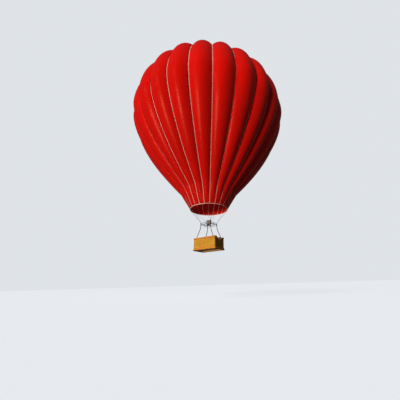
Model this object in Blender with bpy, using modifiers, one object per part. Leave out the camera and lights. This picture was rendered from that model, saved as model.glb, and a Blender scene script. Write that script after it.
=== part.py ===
"""A hot air balloon: a puffed 24-gore envelope in its net of load tapes, a sliding crown
vent, flying wires, a gimballed double burner in its load frame, and a wicker basket.

Metres, +Z up. The origin is on the balloon's axis, at the height of the envelope's widest circle,
where the air holds it. X runs along the basket's long side.
"""

import math
from collections import namedtuple

import bmesh
import bpy
from mathutils import Matrix, Vector

# Envelope
GORES = 24
ENVELOPE_RADIUS = 8.20
CROWN_HEIGHT = 6.04
CROWN_POWER = 3.56
LOWER_DEPTH = 11.28
LOWER_POWER = 1.59
THROAT_Z = -8.58
MOUTH_RADIUS = 1.85
MOUTH_Z = -10.28
FABRIC = 0.010
PUFF_SHARE = 0.20
CROWN_PUFF_GAIN = -0.12
CROWN_PUFF_ANGLE = math.radians(45)
FULL_PUFF_RADIUS = 4.60
GORE_COLUMNS = 4
CROWN_STEPS = 6
LOWER_STEPS = 6
THROAT_STEPS = 2

# Load tapes, crown vent and crown ring
TAPE_WIDTH = 0.050
HOOP_WIDTH = 0.060
HOOP_GAP = 0.001
HUB_INNER_RADIUS = 0.215
HUB_OUTER_RADIUS = 0.300
CROWN_RING_TUBE = 0.014
VENT_HOLE_RADIUS = 2.40
VENT_MIDDLE_RADIUS = 1.30
VENT_EDGE_RADIUS = 2.68
VENT_LAP_DROP = 0.130
VENT_SEAT_GAP = 0.0155

# Basket
BASKET_LENGTH = 2.40
BASKET_WIDTH = 1.55
BASKET_HEIGHT = 1.15
BASKET_BOTTOM_Z = -14.29
BASKET_CORNER = 0.08
WICKER = 0.050
RIM_HEIGHT = 0.14
RIM_OVERHANG = 0.022
RIM_ROUNDING = 0.028
END_WALL_DIP = 0.26
DIP_HALF_WIDTH = 0.55
TRIM_HEIGHT = 0.21
TRIM_THICKNESS = 0.020
TRIM_FLARE = 0.070
TRIM_LEDGE = 0.030
FLOOR_RECESS = 0.100
FLOOR_THICKNESS = 0.020
FLOOR_CORNER = 0.040
RUNNER_HEIGHT = 0.060
RUNNER_WIDTH = 0.090
RUNNER_END_GAP = 0.050
RUNNER_Y = 0.48
RUNNER_BEVEL = 0.008

# Burner frame
FRAME_Z = -11.81
FRAME_HALF = 0.60
FRAME_CORNER = 0.16
RAIL_SPACING = 0.13
RAIL_RADIUS = 0.019
POST_RADIUS = 0.030
POST_HEIGHT = 0.25
WEB_RADIUS = 0.014
ARM_RADIUS = 0.022

# Uprights and their sockets
UPRIGHT_RADIUS = 0.034
UPRIGHT_STRAIGHT_END = 0.22
UPRIGHT_LEAN_END = 0.90
SOCKET_X = 0.95
SOCKET_RADIUS = 0.060
SOCKET_DEPTH = 0.26
SOCKET_FLOOR = 0.020
SOCKET_TOP_DROP = 0.110

# Flying wires and their fittings
WIRES_PER_CORNER = GORES // 4
WIRE_RADIUS = 0.004
SWAGE_RADIUS = 0.009
SWAGE_LENGTH = 0.050
FERRULE_RADIUS = 0.020
FERRULE_LENGTH = 0.057
EYE_RADIUS = 0.020
EYE_TUBE = 0.007
EYE_STEPS = 10
EYE_SUNK = 0.010
KARABINER_LENGTH = 0.100
KARABINER_WIDTH = 0.056
KARABINER_TUBE = 0.006

# Gimbal
GIMBAL_RADIUS = 0.400
GIMBAL_TUBE = 0.015
PIN_RADIUS = 0.011
PIN_LENGTH = 0.030
PIN_HOLE_DEPTH = 0.035
ARM_PLAY = 0.045
BOSS_RADIUS = 0.024
BOSS_REACH = 0.020
CHEEK_PLAY = 0.012

# Burner block
BLOCK_LENGTH = 0.420
BLOCK_WIDTH = 0.110
BLOCK_TOP = -0.035
BLOCK_BOTTOM = -0.120
BLOCK_BEVEL = 0.008
BAR_WIDTH = 0.040
BAR_TOP = -0.043
BAR_BOTTOM = -0.077
CHEEK_THICKNESS = 0.024
CHEEK_TOP = 0.022
SEAT_BAR = 0.024
SEAT_HEIGHT = 0.014
SEAT_LIP = 0.004
STEM_RADIUS = 0.022
JET_LIFT = 0.045
JET_RADIUS = 0.042
JET_TUBE = 0.008
LEVER_RADIUS = 0.011
LEVER_ROOT = (-0.040, -0.090)
LEVER_TIP = (-0.190, -0.130)

# Cans and coils
CAN_RADIUS = 0.125
CAN_SPACING = 0.270
CAN_HEIGHT = 0.390
CAN_WALL = 0.004
CAN_BEAD = 0.012
CAN_BASE_Z = FRAME_Z + 0.020
COIL_RADIUS = 0.088
COIL_TUBE = 0.009
COIL_TURNS = 4
COIL_PITCH = 0.056
COIL_START = 0.105
COIL_LEG = 0.070
COIL_POINTS = 10

# Fuel cylinders
CYLINDER_RADIUS = 0.160
CYLINDER_HEIGHT = 1.060
CYLINDER_X = 0.955
CYLINDER_Y = 0.360
CYLINDER_DOME = 0.090
FOOT_INNER = 0.110
FOOT_OUTER = 0.140
FOOT_RISE = 0.040
FOOT_SHOULDER = 0.070
COLLAR_INNER = 0.080
COLLAR_OUTER = 0.095
COLLAR_RISE = 0.110
COLLAR_DISH = 0.010

# Clearance between pieces that touch
GAP = 0.0003

WALL_TOP_Z = BASKET_BOTTOM_Z + BASKET_HEIGHT - RIM_HEIGHT
FLOOR_TOP_Z = BASKET_BOTTOM_Z + FLOOR_RECESS + FLOOR_THICKNESS
SOCKET_Y = BASKET_WIDTH / 2 - WICKER - SOCKET_RADIUS - GAP
POST_HALF = FRAME_HALF - FRAME_CORNER * (1 - math.cos(math.pi / 4))
ARM_END = GIMBAL_RADIUS + GIMBAL_TUBE + ARM_PLAY
BOSS_END = GIMBAL_RADIUS - GIMBAL_TUBE - BOSS_REACH
CHEEK_END = BOSS_END - CHEEK_PLAY
SECTOR = 2 * math.pi / GORES
CORNERS = {
    "rear_right": (1, 1),
    "rear_left": (-1, 1),
    "front_left": (-1, -1),
    "front_right": (1, -1),
}
Row = namedtuple("Row", "radius height normal puff")


def clear_scene():
    """Removes whatever the scene holds."""
    for old in list(bpy.data.objects):
        bpy.data.objects.remove(old, do_unlink=True)


def new_collection(name, hidden=False):
    """A collection under the scene's own."""
    made = bpy.data.collections.new(name)
    made.hide_render = hidden
    bpy.context.scene.collection.children.link(made)
    return made


def new_material(name, colour, roughness, metallic=0.0):
    """A Principled material with one colour and finish."""
    made = bpy.data.materials.new(name)
    made.use_nodes = True
    shader = made.node_tree.nodes["Principled BSDF"]
    shader.inputs["Base Color"].default_value = (*colour, 1.0)
    shader.inputs["Roughness"].default_value = roughness
    shader.inputs["Metallic"].default_value = metallic
    made.diffuse_color = (*colour, 1.0)
    return made


def place(name, data, material, location=(0, 0, 0)):
    """Puts mesh or curve data into the part's collection as a named object."""
    made = bpy.data.objects.new(name, data)
    made.location = location
    data.materials.append(material)
    PARTS.objects.link(made)
    return made


def mesh_from(name, bm):
    """A mesh from a bmesh, with its faces turned outward."""
    bmesh.ops.recalc_face_normals(bm, faces=bm.faces)
    mesh = bpy.data.meshes.new(name)
    bm.to_mesh(mesh)
    bm.free()
    return mesh


def smooth(mesh, degrees=35):
    """Shades round faces smooth and keeps the sharp edges."""
    mesh.shade_smooth()
    mesh.set_sharp_from_angle(angle=math.radians(degrees))


def baked(obj):
    """The object as a plain mesh object: curves and modifiers become its mesh."""
    bpy.context.view_layer.update()
    graph = bpy.context.evaluated_depsgraph_get()
    mesh = bpy.data.meshes.new_from_object(obj.evaluated_get(graph))
    bm = bmesh.new()
    bm.from_mesh(mesh)
    bmesh.ops.remove_doubles(bm, verts=bm.verts, dist=1e-5)
    bmesh.ops.recalc_face_normals(bm, faces=bm.faces)
    bm.to_mesh(mesh)
    bm.free()
    name = obj.name
    matrix = obj.matrix_world.copy()
    bpy.data.objects.remove(obj, do_unlink=True)
    made = bpy.data.objects.new(name, mesh)
    made.matrix_world = matrix
    PARTS.objects.link(made)
    return made


def boolean(target, other, operation):
    """The target after one exact Boolean with the other solid, which is then removed."""
    bpy.context.view_layer.update()
    step = target.modifiers.new(operation.title(), "BOOLEAN")
    step.operation = operation
    step.object = other
    target = baked(target)
    bpy.data.objects.remove(other, do_unlink=True)
    return target


def joined(name, target, others):
    """Unites the other solids with the target, under the name given."""
    for other in others:
        target = boolean(target, other, "UNION")
    target.name = name
    return target


def poly_curve(name, points, cyclic):
    """A 3-D poly spline through the points."""
    curve = bpy.data.curves.new(name, "CURVE")
    curve.dimensions = "3D"
    spline = curve.splines.new("POLY")
    spline.points.add(len(points) - 1)
    for knot, point in zip(spline.points, points):
        knot.co = (*point, 1.0)
    spline.use_cyclic_u = cyclic
    return curve


def tube(name, points, radius, material, cyclic=False, resolution=2):
    """A round bar along straight runs between points, as a curve with a bevel."""
    curve = poly_curve(name, points, cyclic)
    curve.bevel_depth = radius
    curve.bevel_resolution = resolution
    curve.use_fill_caps = True
    return place(name, curve, material)


def cylinder(name, start, end, radius, material, sides=14):
    """A solid round bar from start to end."""
    start, end = Vector(start), Vector(end)
    axis = end - start
    bm = bmesh.new()
    bmesh.ops.create_cone(
        bm,
        cap_ends=True,
        segments=sides,
        radius1=radius,
        radius2=radius,
        depth=axis.length,
    )
    made = place(name, mesh_from(name, bm), material)
    turn = axis.to_track_quat("Z", "Y").to_matrix().to_4x4()
    made.matrix_world = Matrix.Translation((start + end) / 2) @ turn
    smooth(made.data)
    return made


def box(name, low, high, material, bevel=0.0):
    """A box between two corners, with its edges cut by a bevel of that width."""
    low, high = Vector(low), Vector(high)
    bm = bmesh.new()
    bmesh.ops.create_cube(bm, size=1.0)
    bmesh.ops.scale(bm, vec=high - low, verts=bm.verts)
    made = place(name, mesh_from(name, bm), material, (low + high) / 2)
    if bevel:
        rounded = made.modifiers.new("Rounded edges", "BEVEL")
        rounded.width = bevel
        rounded.segments = 1
    return made


def ring(name, centre, radius, tube_radius, material, turn=None, steps=EYE_STEPS, sides=6):
    """A torus about the local Z of the turn given."""
    bpy.ops.mesh.primitive_torus_add(
        major_radius=radius,
        minor_radius=tube_radius,
        major_segments=steps,
        minor_segments=sides,
    )
    made = bpy.context.object
    made.name = name
    made.data.materials.append(material)
    for owner in list(made.users_collection):
        owner.objects.unlink(made)
    PARTS.objects.link(made)
    turn = turn.to_4x4() if turn else Matrix.Identity(4)
    made.matrix_world = Matrix.Translation(centre) @ turn
    smooth(made.data, 60)
    return made


def outline_mesh(name, profile, closed):
    """The edges of a (radius, height) profile at +X, for a Screw to turn. None lies on the axis."""
    bm = bmesh.new()
    line = [bm.verts.new((radius, 0, height)) for radius, height in profile]
    ends = line[1:]
    if closed:
        ends.append(line[0])
    for first, second in zip(line, ends):
        if max(first.co.x, second.co.x) > GAP:
            bm.edges.new((first, second))
    mesh = bpy.data.meshes.new(name)
    bm.to_mesh(mesh)
    bm.free()
    return mesh


def add_screw(obj, steps):
    """Turns the object's profile once round Z."""
    screw = obj.modifiers.new("Turned", "SCREW")
    screw.steps = steps
    screw.render_steps = steps
    screw.use_merge_vertices = True
    screw.merge_threshold = 0.0001
    screw.use_smooth_shade = True


def add_fabric(obj):
    """Thickens an open sheet inward."""
    shell = obj.modifiers.new("Fabric", "SOLIDIFY")
    shell.thickness = FABRIC
    shell.offset = -1.0


def turned(name, profile, material, steps=32, location=(0, 0, 0)):
    """A solid of revolution about Z, from a closed profile whose outer side runs upward."""
    mesh = outline_mesh(name, list(reversed(profile)), closed=True)
    made = place(name, mesh, material, location)
    add_screw(made, steps)
    return made


def ease(value):
    """A smooth step from 0 to 1."""
    value = min(1.0, max(0.0, value))
    return value * value * (3 - 2 * value)


def crown_angle(radius):
    """The crown's angle above its widest circle, at that radius."""
    return math.acos((radius / ENVELOPE_RADIUS) ** (CROWN_POWER / 2))


def crown_row(angle):
    """A row of the skin on the crown, a dome that is flatter and broader than an ellipse."""
    width = math.cos(angle) ** (2 / CROWN_POWER)
    radius = ENVELOPE_RADIUS * width
    height = CROWN_HEIGHT * math.sin(angle)
    steepness = CROWN_POWER / ENVELOPE_RADIUS * width ** (CROWN_POWER - 1)
    normal = Vector((steepness, 2 * math.sin(angle) / CROWN_HEIGHT))
    share = PUFF_SHARE * (1 + CROWN_PUFF_GAIN * ease(angle / CROWN_PUFF_ANGLE))
    share *= ease((radius - VENT_HOLE_RADIUS) / (FULL_PUFF_RADIUS - VENT_HOLE_RADIUS))
    return Row(radius, height, normal.normalized(), share * SECTOR * radius)


def lower_row(height):
    """A row of the skin from the widest circle down to the throat."""
    share = abs(height) / LOWER_DEPTH
    radius = ENVELOPE_RADIUS * (1 - share**LOWER_POWER)
    slope = ENVELOPE_RADIUS * LOWER_POWER / LOWER_DEPTH * share ** (LOWER_POWER - 1)
    normal = Vector((1.0, -slope)).normalized()
    return Row(radius, height, normal, PUFF_SHARE * SECTOR * radius)


def throat_row(share):
    """A row of the straight cone from the throat to the mouth, where the puff dies out."""
    top = lower_row(THROAT_Z)
    radius = top.radius + (MOUTH_RADIUS - top.radius) * share
    height = THROAT_Z + (MOUTH_Z - THROAT_Z) * share
    normal = Vector((THROAT_Z - MOUTH_Z, MOUTH_RADIUS - top.radius)).normalized()
    return Row(radius, height, normal, PUFF_SHARE * SECTOR * radius * (1 - ease(share)))


def gore_rows():
    """The rows of a gore, from the vent's hoop down to the mouth."""
    top = crown_angle(VENT_HOLE_RADIUS)
    crown = [crown_row(top * (1 - step / CROWN_STEPS)) for step in range(CROWN_STEPS)]
    lower = [lower_row(THROAT_Z * step / LOWER_STEPS) for step in range(LOWER_STEPS + 1)]
    throat = [throat_row((step + 1) / THROAT_STEPS) for step in range(THROAT_STEPS)]
    return crown + lower + throat


def hub_rows():
    """The rows of the tapes over the vent, from the hub out to the vent's hoop."""
    radii = (
        HUB_INNER_RADIUS,
        HUB_OUTER_RADIUS,
        VENT_MIDDLE_RADIUS,
        VENT_HOLE_RADIUS - HOOP_WIDTH,
    )
    return [crown_row(crown_angle(radius)) for radius in radii]


def hem_row():
    """The lower edge of the mouth's hoop."""
    return Row(MOUTH_RADIUS, MOUTH_Z - HOOP_WIDTH, Vector((1.0, 0.0)), 0.0)


def sunk_point(row, depth, turn_at):
    """The point at that depth under a row's crest, turned by the angle that its radius gives."""
    radius = row.radius - row.normal.x * depth
    height = row.height - row.normal.y * depth
    turn = turn_at(radius)
    return Vector((radius * math.cos(turn), radius * math.sin(turn), height))


def gore_point(row, share):
    """A point on a gore's round puff: share runs from -1 at one tape to 1 at the next."""
    half_arc = 2 * math.atan2(2 * row.puff, SECTOR * row.radius)
    across, lift = share, 1.0
    if half_arc > GAP:
        across = math.sin(half_arc * share) / math.sin(half_arc)
        lift = (math.cos(half_arc * share) - math.cos(half_arc)) / (1 - math.cos(half_arc))
    edge = TAPE_WIDTH / 2 + GAP
    return sunk_point(
        row,
        row.puff * (1 - lift),
        lambda radius: across * (SECTOR / 2 - math.asin(edge / radius)),
    )


def grid_place(point, columns, rows):
    """The (column, row) of a point of a unit grid, counted from its upper left."""
    return (point.x + 0.5) * columns, (0.5 - point.y) * rows


def gore_mesh():
    """One gore between two tapes: a grid bent to the puffed form, its ends clear of the hoops."""
    rows = gore_rows()
    last = len(rows) - 1
    bm = bmesh.new()
    bmesh.ops.create_grid(bm, x_segments=GORE_COLUMNS, y_segments=last, size=0.5)
    for vert in bm.verts:
        column, row = (round(value) for value in grid_place(vert.co, GORE_COLUMNS, last))
        vert.co = gore_point(rows[row], 2 * column / GORE_COLUMNS - 1)
        if row == 0:
            vert.co.x += HOOP_GAP
        if row == last:
            vert.co.z += HOOP_GAP
    mesh = mesh_from("gore", bm)
    if mesh.polygons[0].normal.x < 0:
        mesh.flip_normals()
    smooth(mesh, 60)
    mesh.materials.append(RED_FABRIC)
    return mesh


def build_gores():
    """The gores, which share one mesh and are turned about the axis."""
    mesh = gore_mesh()
    for index in range(GORES):
        gore = bpy.data.objects.new(f"gore_{index + 1:02d}", mesh)
        gore.rotation_euler.z = index * SECTOR
        PARTS.objects.link(gore)
        add_fabric(gore)


def build_load_tapes():
    """The net: tapes down the valleys, joined by the crown hub, the vent's hoop and the mouth's."""
    above = hub_rows()
    rows = above + gore_rows() + [hem_row()]
    last = len(rows) - 1
    hoops = (0, len(above) - 1, last - 1)
    around = 2 * GORES
    bm = bmesh.new()
    bmesh.ops.create_grid(bm, x_segments=around, y_segments=last, size=0.5)
    openings = []
    for face in bm.faces:
        middle = face.calc_center_median()
        column, row = (int(value) for value in grid_place(middle, around, last))
        if column % 2 and row not in hoops:
            openings.append(face)
    for vert in bm.verts:
        column, row = (round(value) for value in grid_place(vert.co, around, last))
        valley = (column // 2 + 0.5) * SECTOR
        side = 1 if column % 2 else -1
        vert.co = sunk_point(
            rows[row],
            rows[row].puff,
            lambda radius: valley + side * math.asin(TAPE_WIDTH / 2 / radius),
        )
    bmesh.ops.delete(bm, geom=openings, context="FACES")
    bmesh.ops.remove_doubles(bm, verts=bm.verts, dist=1e-5)
    mesh = mesh_from("load_tapes", bm)
    highest = max(mesh.polygons, key=lambda polygon: polygon.center.z)
    if highest.normal.z < 0:
        mesh.flip_normals()
    add_fabric(place("load_tapes", mesh, CREAM_WEBBING))


def build_crown():
    """The crown ring in the hub, and the parachute vent that seals against the hoop from inside."""
    hub_z = hub_rows()[0].height - FABRIC / 2
    ring(
        "crown_ring",
        (0, 0, hub_z),
        HUB_INNER_RADIUS - CROWN_RING_TUBE - GAP,
        CROWN_RING_TUBE,
        STEEL,
        steps=24,
        sides=8,
    )
    centre_z = hub_z - CROWN_RING_TUBE - GAP
    profile = [(0.0, centre_z), (HUB_OUTER_RADIUS, centre_z)]
    for row in hub_rows()[2:] + gore_rows()[:1]:
        profile.append((row.radius, row.height - VENT_SEAT_GAP))
    profile.append((VENT_EDGE_RADIUS, profile[-1][1] - VENT_LAP_DROP))
    outline = outline_mesh("parachute_vent", profile, closed=False)
    vent = place("parachute_vent", outline, RED_FABRIC)
    add_screw(vent, 2 * GORES)
    add_fabric(vent)


def rounded_rectangle(half_x, half_y, corner, height=0.0, end_steps=1):
    """A closed path, anticlockwise from +X, whose two end sides are cut into that many steps."""
    points = []
    corner_steps = 3
    for quarter, (side_x, side_y) in enumerate(CORNERS.values()):
        centre = Vector((side_x * (half_x - corner), side_y * (half_y - corner), height))
        for step in range(corner_steps + 1):
            turn = math.pi / 2 * (quarter + step / corner_steps)
            points.append(centre + corner * Vector((math.cos(turn), math.sin(turn), 0)))
        if quarter % 2:
            run = 2 * (half_y - corner) * side_y
            for step in range(1, end_steps):
                along = centre.y - run * step / end_steps
                points.append(Vector((side_x * half_x, along, height)))
    return points


def swept(name, profile, material, path):
    """A closed band: the (outward, up) profile carried along a closed path in the ground plane."""
    section = poly_curve(name + "_section", [(out, up, 0) for out, up in profile], cyclic=True)
    section.dimensions = "2D"
    guide = bpy.data.objects.new(name + "_section", section)
    guide.hide_render = True
    guide.display_type = "WIRE"
    GUIDES.objects.link(guide)
    band = place(name, poly_curve(name, path, cyclic=True), material)
    band.data.bevel_mode = "OBJECT"
    band.data.bevel_object = guide
    band.data.twist_mode = "Z_UP"
    band = baked(band)
    bpy.data.objects.remove(guide, do_unlink=True)
    return band


def end_wall_dip(point):
    """How far the top of an end wall sags at that point: nothing on the long walls."""
    if abs(point.x) < BASKET_LENGTH / 2 - BASKET_CORNER or abs(point.y) > DIP_HALF_WIDTH:
        return 0.0
    return END_WALL_DIP * math.cos(point.y / DIP_HALF_WIDTH * math.pi / 2) ** 2


def sag_top(band):
    """Lowers what stands at the wall's top or above it, along the end walls."""
    for vert in band.data.vertices:
        if vert.co.z > WALL_TOP_Z - GAP:
            vert.co.z -= end_wall_dip(vert.co)


def build_walls():
    """The woven wall, its padded leather rim and its flared bottom trim."""
    path = rounded_rectangle(BASKET_LENGTH / 2, BASKET_WIDTH / 2, BASKET_CORNER, end_steps=10)
    low = BASKET_BOTTOM_Z
    ledge = low + TRIM_LEDGE
    wall = [
        (0, ledge + GAP),
        (0, WALL_TOP_Z),
        (-WICKER, WALL_TOP_Z),
        (-WICKER, ledge + GAP),
    ]
    sag_top(swept("basket_wicker", wall, WICKER_WEAVE, path))

    top = low + BASKET_HEIGHT
    out, inner = RIM_OVERHANG, -WICKER - RIM_OVERHANG
    rim = [
        (out, WALL_TOP_Z + GAP),
        (out, top - RIM_ROUNDING),
        (out - RIM_ROUNDING, top),
        (inner + RIM_ROUNDING, top),
        (inner, top - RIM_ROUNDING),
        (inner, WALL_TOP_Z + GAP),
    ]
    sag_top(swept("basket_rim", rim, TAN_LEATHER, path))

    trim = [
        (GAP, low + TRIM_HEIGHT),
        (TRIM_THICKNESS, low + TRIM_HEIGHT),
        (TRIM_FLARE, ledge),
        (TRIM_FLARE, low),
        (-WICKER, low),
        (-WICKER, ledge),
        (GAP, ledge),
    ]
    swept("bottom_trim", trim, TAN_LEATHER, path)


def build_floor():
    """The floor board, its upright corners cut round, and the two wooden runners under it."""
    half_x = BASKET_LENGTH / 2 - WICKER - GAP
    half_y = BASKET_WIDTH / 2 - WICKER - GAP
    under = FLOOR_TOP_Z - FLOOR_THICKNESS
    board = box("basket_floor", (-half_x, -half_y, under), (half_x, half_y, FLOOR_TOP_Z), PLYWOOD)
    bm = bmesh.new()
    bm.from_mesh(board.data)
    upright = [edge for edge in bm.edges if edge.calc_length() < 2 * FLOOR_THICKNESS]
    bmesh.ops.bevel(bm, geom=upright, offset=FLOOR_CORNER, segments=3, affect="EDGES")
    bm.to_mesh(board.data)
    bm.free()
    reach = half_x - RUNNER_END_GAP
    for side, name in ((-1, "runner_front"), (1, "runner_rear")):
        middle = side * RUNNER_Y
        box(
            name,
            (-reach, middle - RUNNER_WIDTH / 2, under - RUNNER_HEIGHT - GAP),
            (reach, middle + RUNNER_WIDTH / 2, under - GAP),
            ASH_WOOD,
            RUNNER_BEVEL,
        )


def upright_points(foot, head):
    """A rod that stands straight in its socket, leans in above the rim and ends upright."""
    points = []
    steps = 12
    for step in range(steps + 1):
        share = step / steps
        way = (share - UPRIGHT_STRAIGHT_END) / (UPRIGHT_LEAN_END - UPRIGHT_STRAIGHT_END)
        way = min(1.0, max(0.0, way))
        point = foot.lerp(head, (way + ease(way)) / 2)
        point.z = foot.z + (head.z - foot.z) * share
        points.append(point)
    return points


def build_uprights():
    """Padded rods from sockets inside the long walls up to the posts of the burner frame."""
    sides = 16
    bore = UPRIGHT_RADIUS / math.cos(math.pi / sides) + GAP
    socket_top = WALL_TOP_Z - SOCKET_TOP_DROP
    foot_z = socket_top - SOCKET_DEPTH
    head_z = FRAME_Z - POST_HEIGHT / 2 - GAP
    profile = [
        (0, foot_z - SOCKET_FLOOR),
        (SOCKET_RADIUS, foot_z - SOCKET_FLOOR),
        (SOCKET_RADIUS, socket_top),
        (bore, socket_top),
        (bore, foot_z - GAP),
        (0, foot_z - GAP),
    ]
    for corner, (side_x, side_y) in CORNERS.items():
        foot = Vector((side_x * SOCKET_X, side_y * SOCKET_Y, foot_z))
        head = Vector((side_x * POST_HALF, side_y * POST_HALF, head_z))
        points = upright_points(foot, head)
        tube(f"upright_{corner}", points, UPRIGHT_RADIUS, GREY_COVER, resolution=3)
        turned(f"upright_socket_{corner}", profile, TAN_LEATHER, sides, (foot.x, foot.y, 0))


def eye_centre(side_x, side_y):
    """The middle of the eye on top of a corner post."""
    lift = POST_HEIGHT / 2 + EYE_RADIUS + EYE_TUBE - EYE_SUNK
    return Vector((side_x * POST_HALF, side_y * POST_HALF, FRAME_Z + lift))


def standing_turn(side_x, side_y):
    """Turns a ring to stand upright in the plane of the corner's diagonal."""
    outward = Vector((side_x, side_y, 0)).normalized()
    across = Vector((-outward.y, outward.x, 0))
    return Matrix((outward, Vector((0, 0, 1)), across)).transposed()


def bored(obj, direction, start):
    """Drills the level pin hole that starts at that distance from the pivots' middle."""
    along = Vector(direction)
    middle = Vector((0, 0, FRAME_Z))
    begin = middle + along * (start - PIN_LENGTH)
    end = middle + along * (start + PIN_HOLE_DEPTH)
    drill = cylinder("drill", begin, end, PIN_RADIUS + GAP, STEEL)
    drill.hide_render = True
    drill.display_type = "WIRE"
    return boolean(obj, drill, "DIFFERENCE")


def build_frame():
    """The double-rail load frame with its corner posts, eyes and the gimbal's pivot arms."""
    web = RAIL_SPACING / 2
    rails = []
    for side in (-1, 1):
        path = rounded_rectangle(FRAME_HALF, FRAME_HALF, FRAME_CORNER, FRAME_Z + side * web)
        rails.append(baked(tube(f"rail_{side}", path, RAIL_RADIUS, DARK_STEEL, cyclic=True)))
    extras = [rails[1]]
    rise = Vector((0, 0, POST_HEIGHT / 2))
    for sides in CORNERS.values():
        centre = Vector((sides[0] * POST_HALF, sides[1] * POST_HALF, FRAME_Z))
        extras.append(cylinder("post", centre - rise, centre + rise, POST_RADIUS, DARK_STEEL))
        turn = standing_turn(*sides)
        extras.append(ring("eye", eye_centre(*sides), EYE_RADIUS, EYE_TUBE, DARK_STEEL, turn))
    for side in (-1, 1):
        low = (side * FRAME_HALF, 0, FRAME_Z - web)
        high = (side * FRAME_HALF, 0, FRAME_Z + web)
        extras.append(cylinder("web", low, high, WEB_RADIUS, DARK_STEEL, 10))
        inner_end = (side * ARM_END, 0, FRAME_Z)
        outer_end = (side * FRAME_HALF, 0, FRAME_Z)
        extras.append(cylinder("arm", inner_end, outer_end, ARM_RADIUS, DARK_STEEL))
    frame = joined("burner_frame", rails[0], extras)
    for side in (-1, 1):
        frame = bored(frame, (side, 0, 0), ARM_END)
    smooth(frame.data)


def build_gimbal():
    """The ring that tips about X in the frame's arms, drilled along Y for the burner's pins."""
    centre = (0, 0, FRAME_Z)
    hoop = ring("gimbal_ring", centre, GIMBAL_RADIUS, GIMBAL_TUBE, STEEL, steps=32, sides=8)
    extras = []
    for side in (-1, 1):
        root = (side * GIMBAL_RADIUS, 0, FRAME_Z)
        tip = (side * (ARM_END + PIN_LENGTH), 0, FRAME_Z)
        extras.append(cylinder("pin", root, tip, PIN_RADIUS, STEEL))
        outer = (0, side * (GIMBAL_RADIUS + GIMBAL_TUBE), FRAME_Z)
        inner = (0, side * BOSS_END, FRAME_Z)
        extras.append(cylinder("boss", outer, inner, BOSS_RADIUS, STEEL))
    hoop = joined("gimbal_ring", hoop, extras)
    for side in (-1, 1):
        hoop = bored(hoop, (0, side, 0), BOSS_END)
    smooth(hoop.data)


def swing_bar():
    """The bar that hangs the burner in the gimbal, with a cheek and a pivot pin at each end."""
    half = BAR_WIDTH / 2
    low_z = FRAME_Z + BAR_BOTTOM
    high_z = FRAME_Z + BAR_TOP
    solids = [box("bar", (-half, -CHEEK_END, low_z), (half, CHEEK_END, high_z), STEEL)]
    for side in (-1, 1):
        inside = side * (CHEEK_END - CHEEK_THICKNESS)
        near, far = sorted((inside, side * CHEEK_END))
        top = FRAME_Z + CHEEK_TOP
        solids.append(box("cheek", (-half, near, low_z), (half, far, top), STEEL))
        tip = (0, side * (BOSS_END + PIN_LENGTH), FRAME_Z)
        solids.append(cylinder("pivot", (0, inside, FRAME_Z), tip, PIN_RADIUS, STEEL))
    return solids


def can_seat(middle):
    """A cross for a can to stand on, with the jet ring on its stem and a valve lever below."""
    reach = CAN_RADIUS + SEAT_LIP
    half = SEAT_BAR / 2
    high = CAN_BASE_Z - GAP
    low = high - SEAT_HEIGHT
    jet_z = high + JET_LIFT
    stem_foot = (middle, 0, FRAME_Z + BLOCK_BOTTOM / 2)
    stem_top = (middle, 0, jet_z + JET_TUBE)
    spoke_low = (middle - JET_RADIUS, -JET_TUBE, jet_z - JET_TUBE)
    spoke_high = (middle + JET_RADIUS, JET_TUBE, jet_z)
    lever_root = (middle, LEVER_ROOT[0], FRAME_Z + LEVER_ROOT[1])
    lever_tip = (middle, LEVER_TIP[0], FRAME_Z + LEVER_TIP[1])
    return [
        box("seat_x", (middle - reach, -half, low), (middle + reach, half, high), STEEL),
        box("seat_y", (middle - half, -reach, low), (middle + half, reach, high), STEEL),
        cylinder("stem", stem_foot, stem_top, STEM_RADIUS, BRASS, 12),
        ring("jet", (middle, 0, jet_z), JET_RADIUS, JET_TUBE, BRASS, steps=12),
        box("spoke", spoke_low, spoke_high, BRASS),
        cylinder("lever", lever_root, lever_tip, LEVER_RADIUS, STEEL, 8),
    ]


def build_coil(name, middle):
    """The fuel tube that winds up inside a can, its leg standing on the can's seat."""
    foot = Vector((middle + COIL_RADIUS, 0, CAN_BASE_Z + GAP))
    points = [foot, foot + Vector((0, 0, COIL_LEG))]
    for step in range(COIL_TURNS * COIL_POINTS + 1):
        turn = 2 * math.pi * step / COIL_POINTS
        height = CAN_BASE_Z + COIL_START + COIL_PITCH * step / COIL_POINTS
        across = Vector((math.cos(turn), math.sin(turn), 0)) * COIL_RADIUS
        points.append(Vector((middle, 0, height)) + across)
    tube(name, points, COIL_TUBE, STEEL, resolution=1)


def build_burner():
    """The valve block on its swing bar, and over it the two cans with a coil in each."""
    half_x, half_y = BLOCK_LENGTH / 2, BLOCK_WIDTH / 2
    low = (-half_x, -half_y, FRAME_Z + BLOCK_BOTTOM)
    high = (half_x, half_y, FRAME_Z + BLOCK_TOP)
    block = baked(box("burner_block", low, high, BRASS, BLOCK_BEVEL))
    half_spacing = CAN_SPACING / 2
    extras = swing_bar() + can_seat(-half_spacing) + can_seat(half_spacing)
    block = joined("burner_block", block, extras)
    smooth(block.data)

    base, top = CAN_BASE_Z, CAN_BASE_Z + CAN_HEIGHT
    profile = [
        (CAN_RADIUS, base),
        (CAN_RADIUS, top - CAN_BEAD),
        (CAN_RADIUS + CAN_WALL, top - CAN_BEAD),
        (CAN_RADIUS + CAN_WALL, top),
        (CAN_RADIUS - CAN_WALL, top),
        (CAN_RADIUS - CAN_WALL, base),
    ]
    for side, name in ((-1, "left"), (1, "right")):
        middle = side * half_spacing
        turned(f"burner_can_{name}", profile, STEEL, 24, (middle, 0, 0))
        build_coil(f"burner_coil_{name}", middle)


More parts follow.
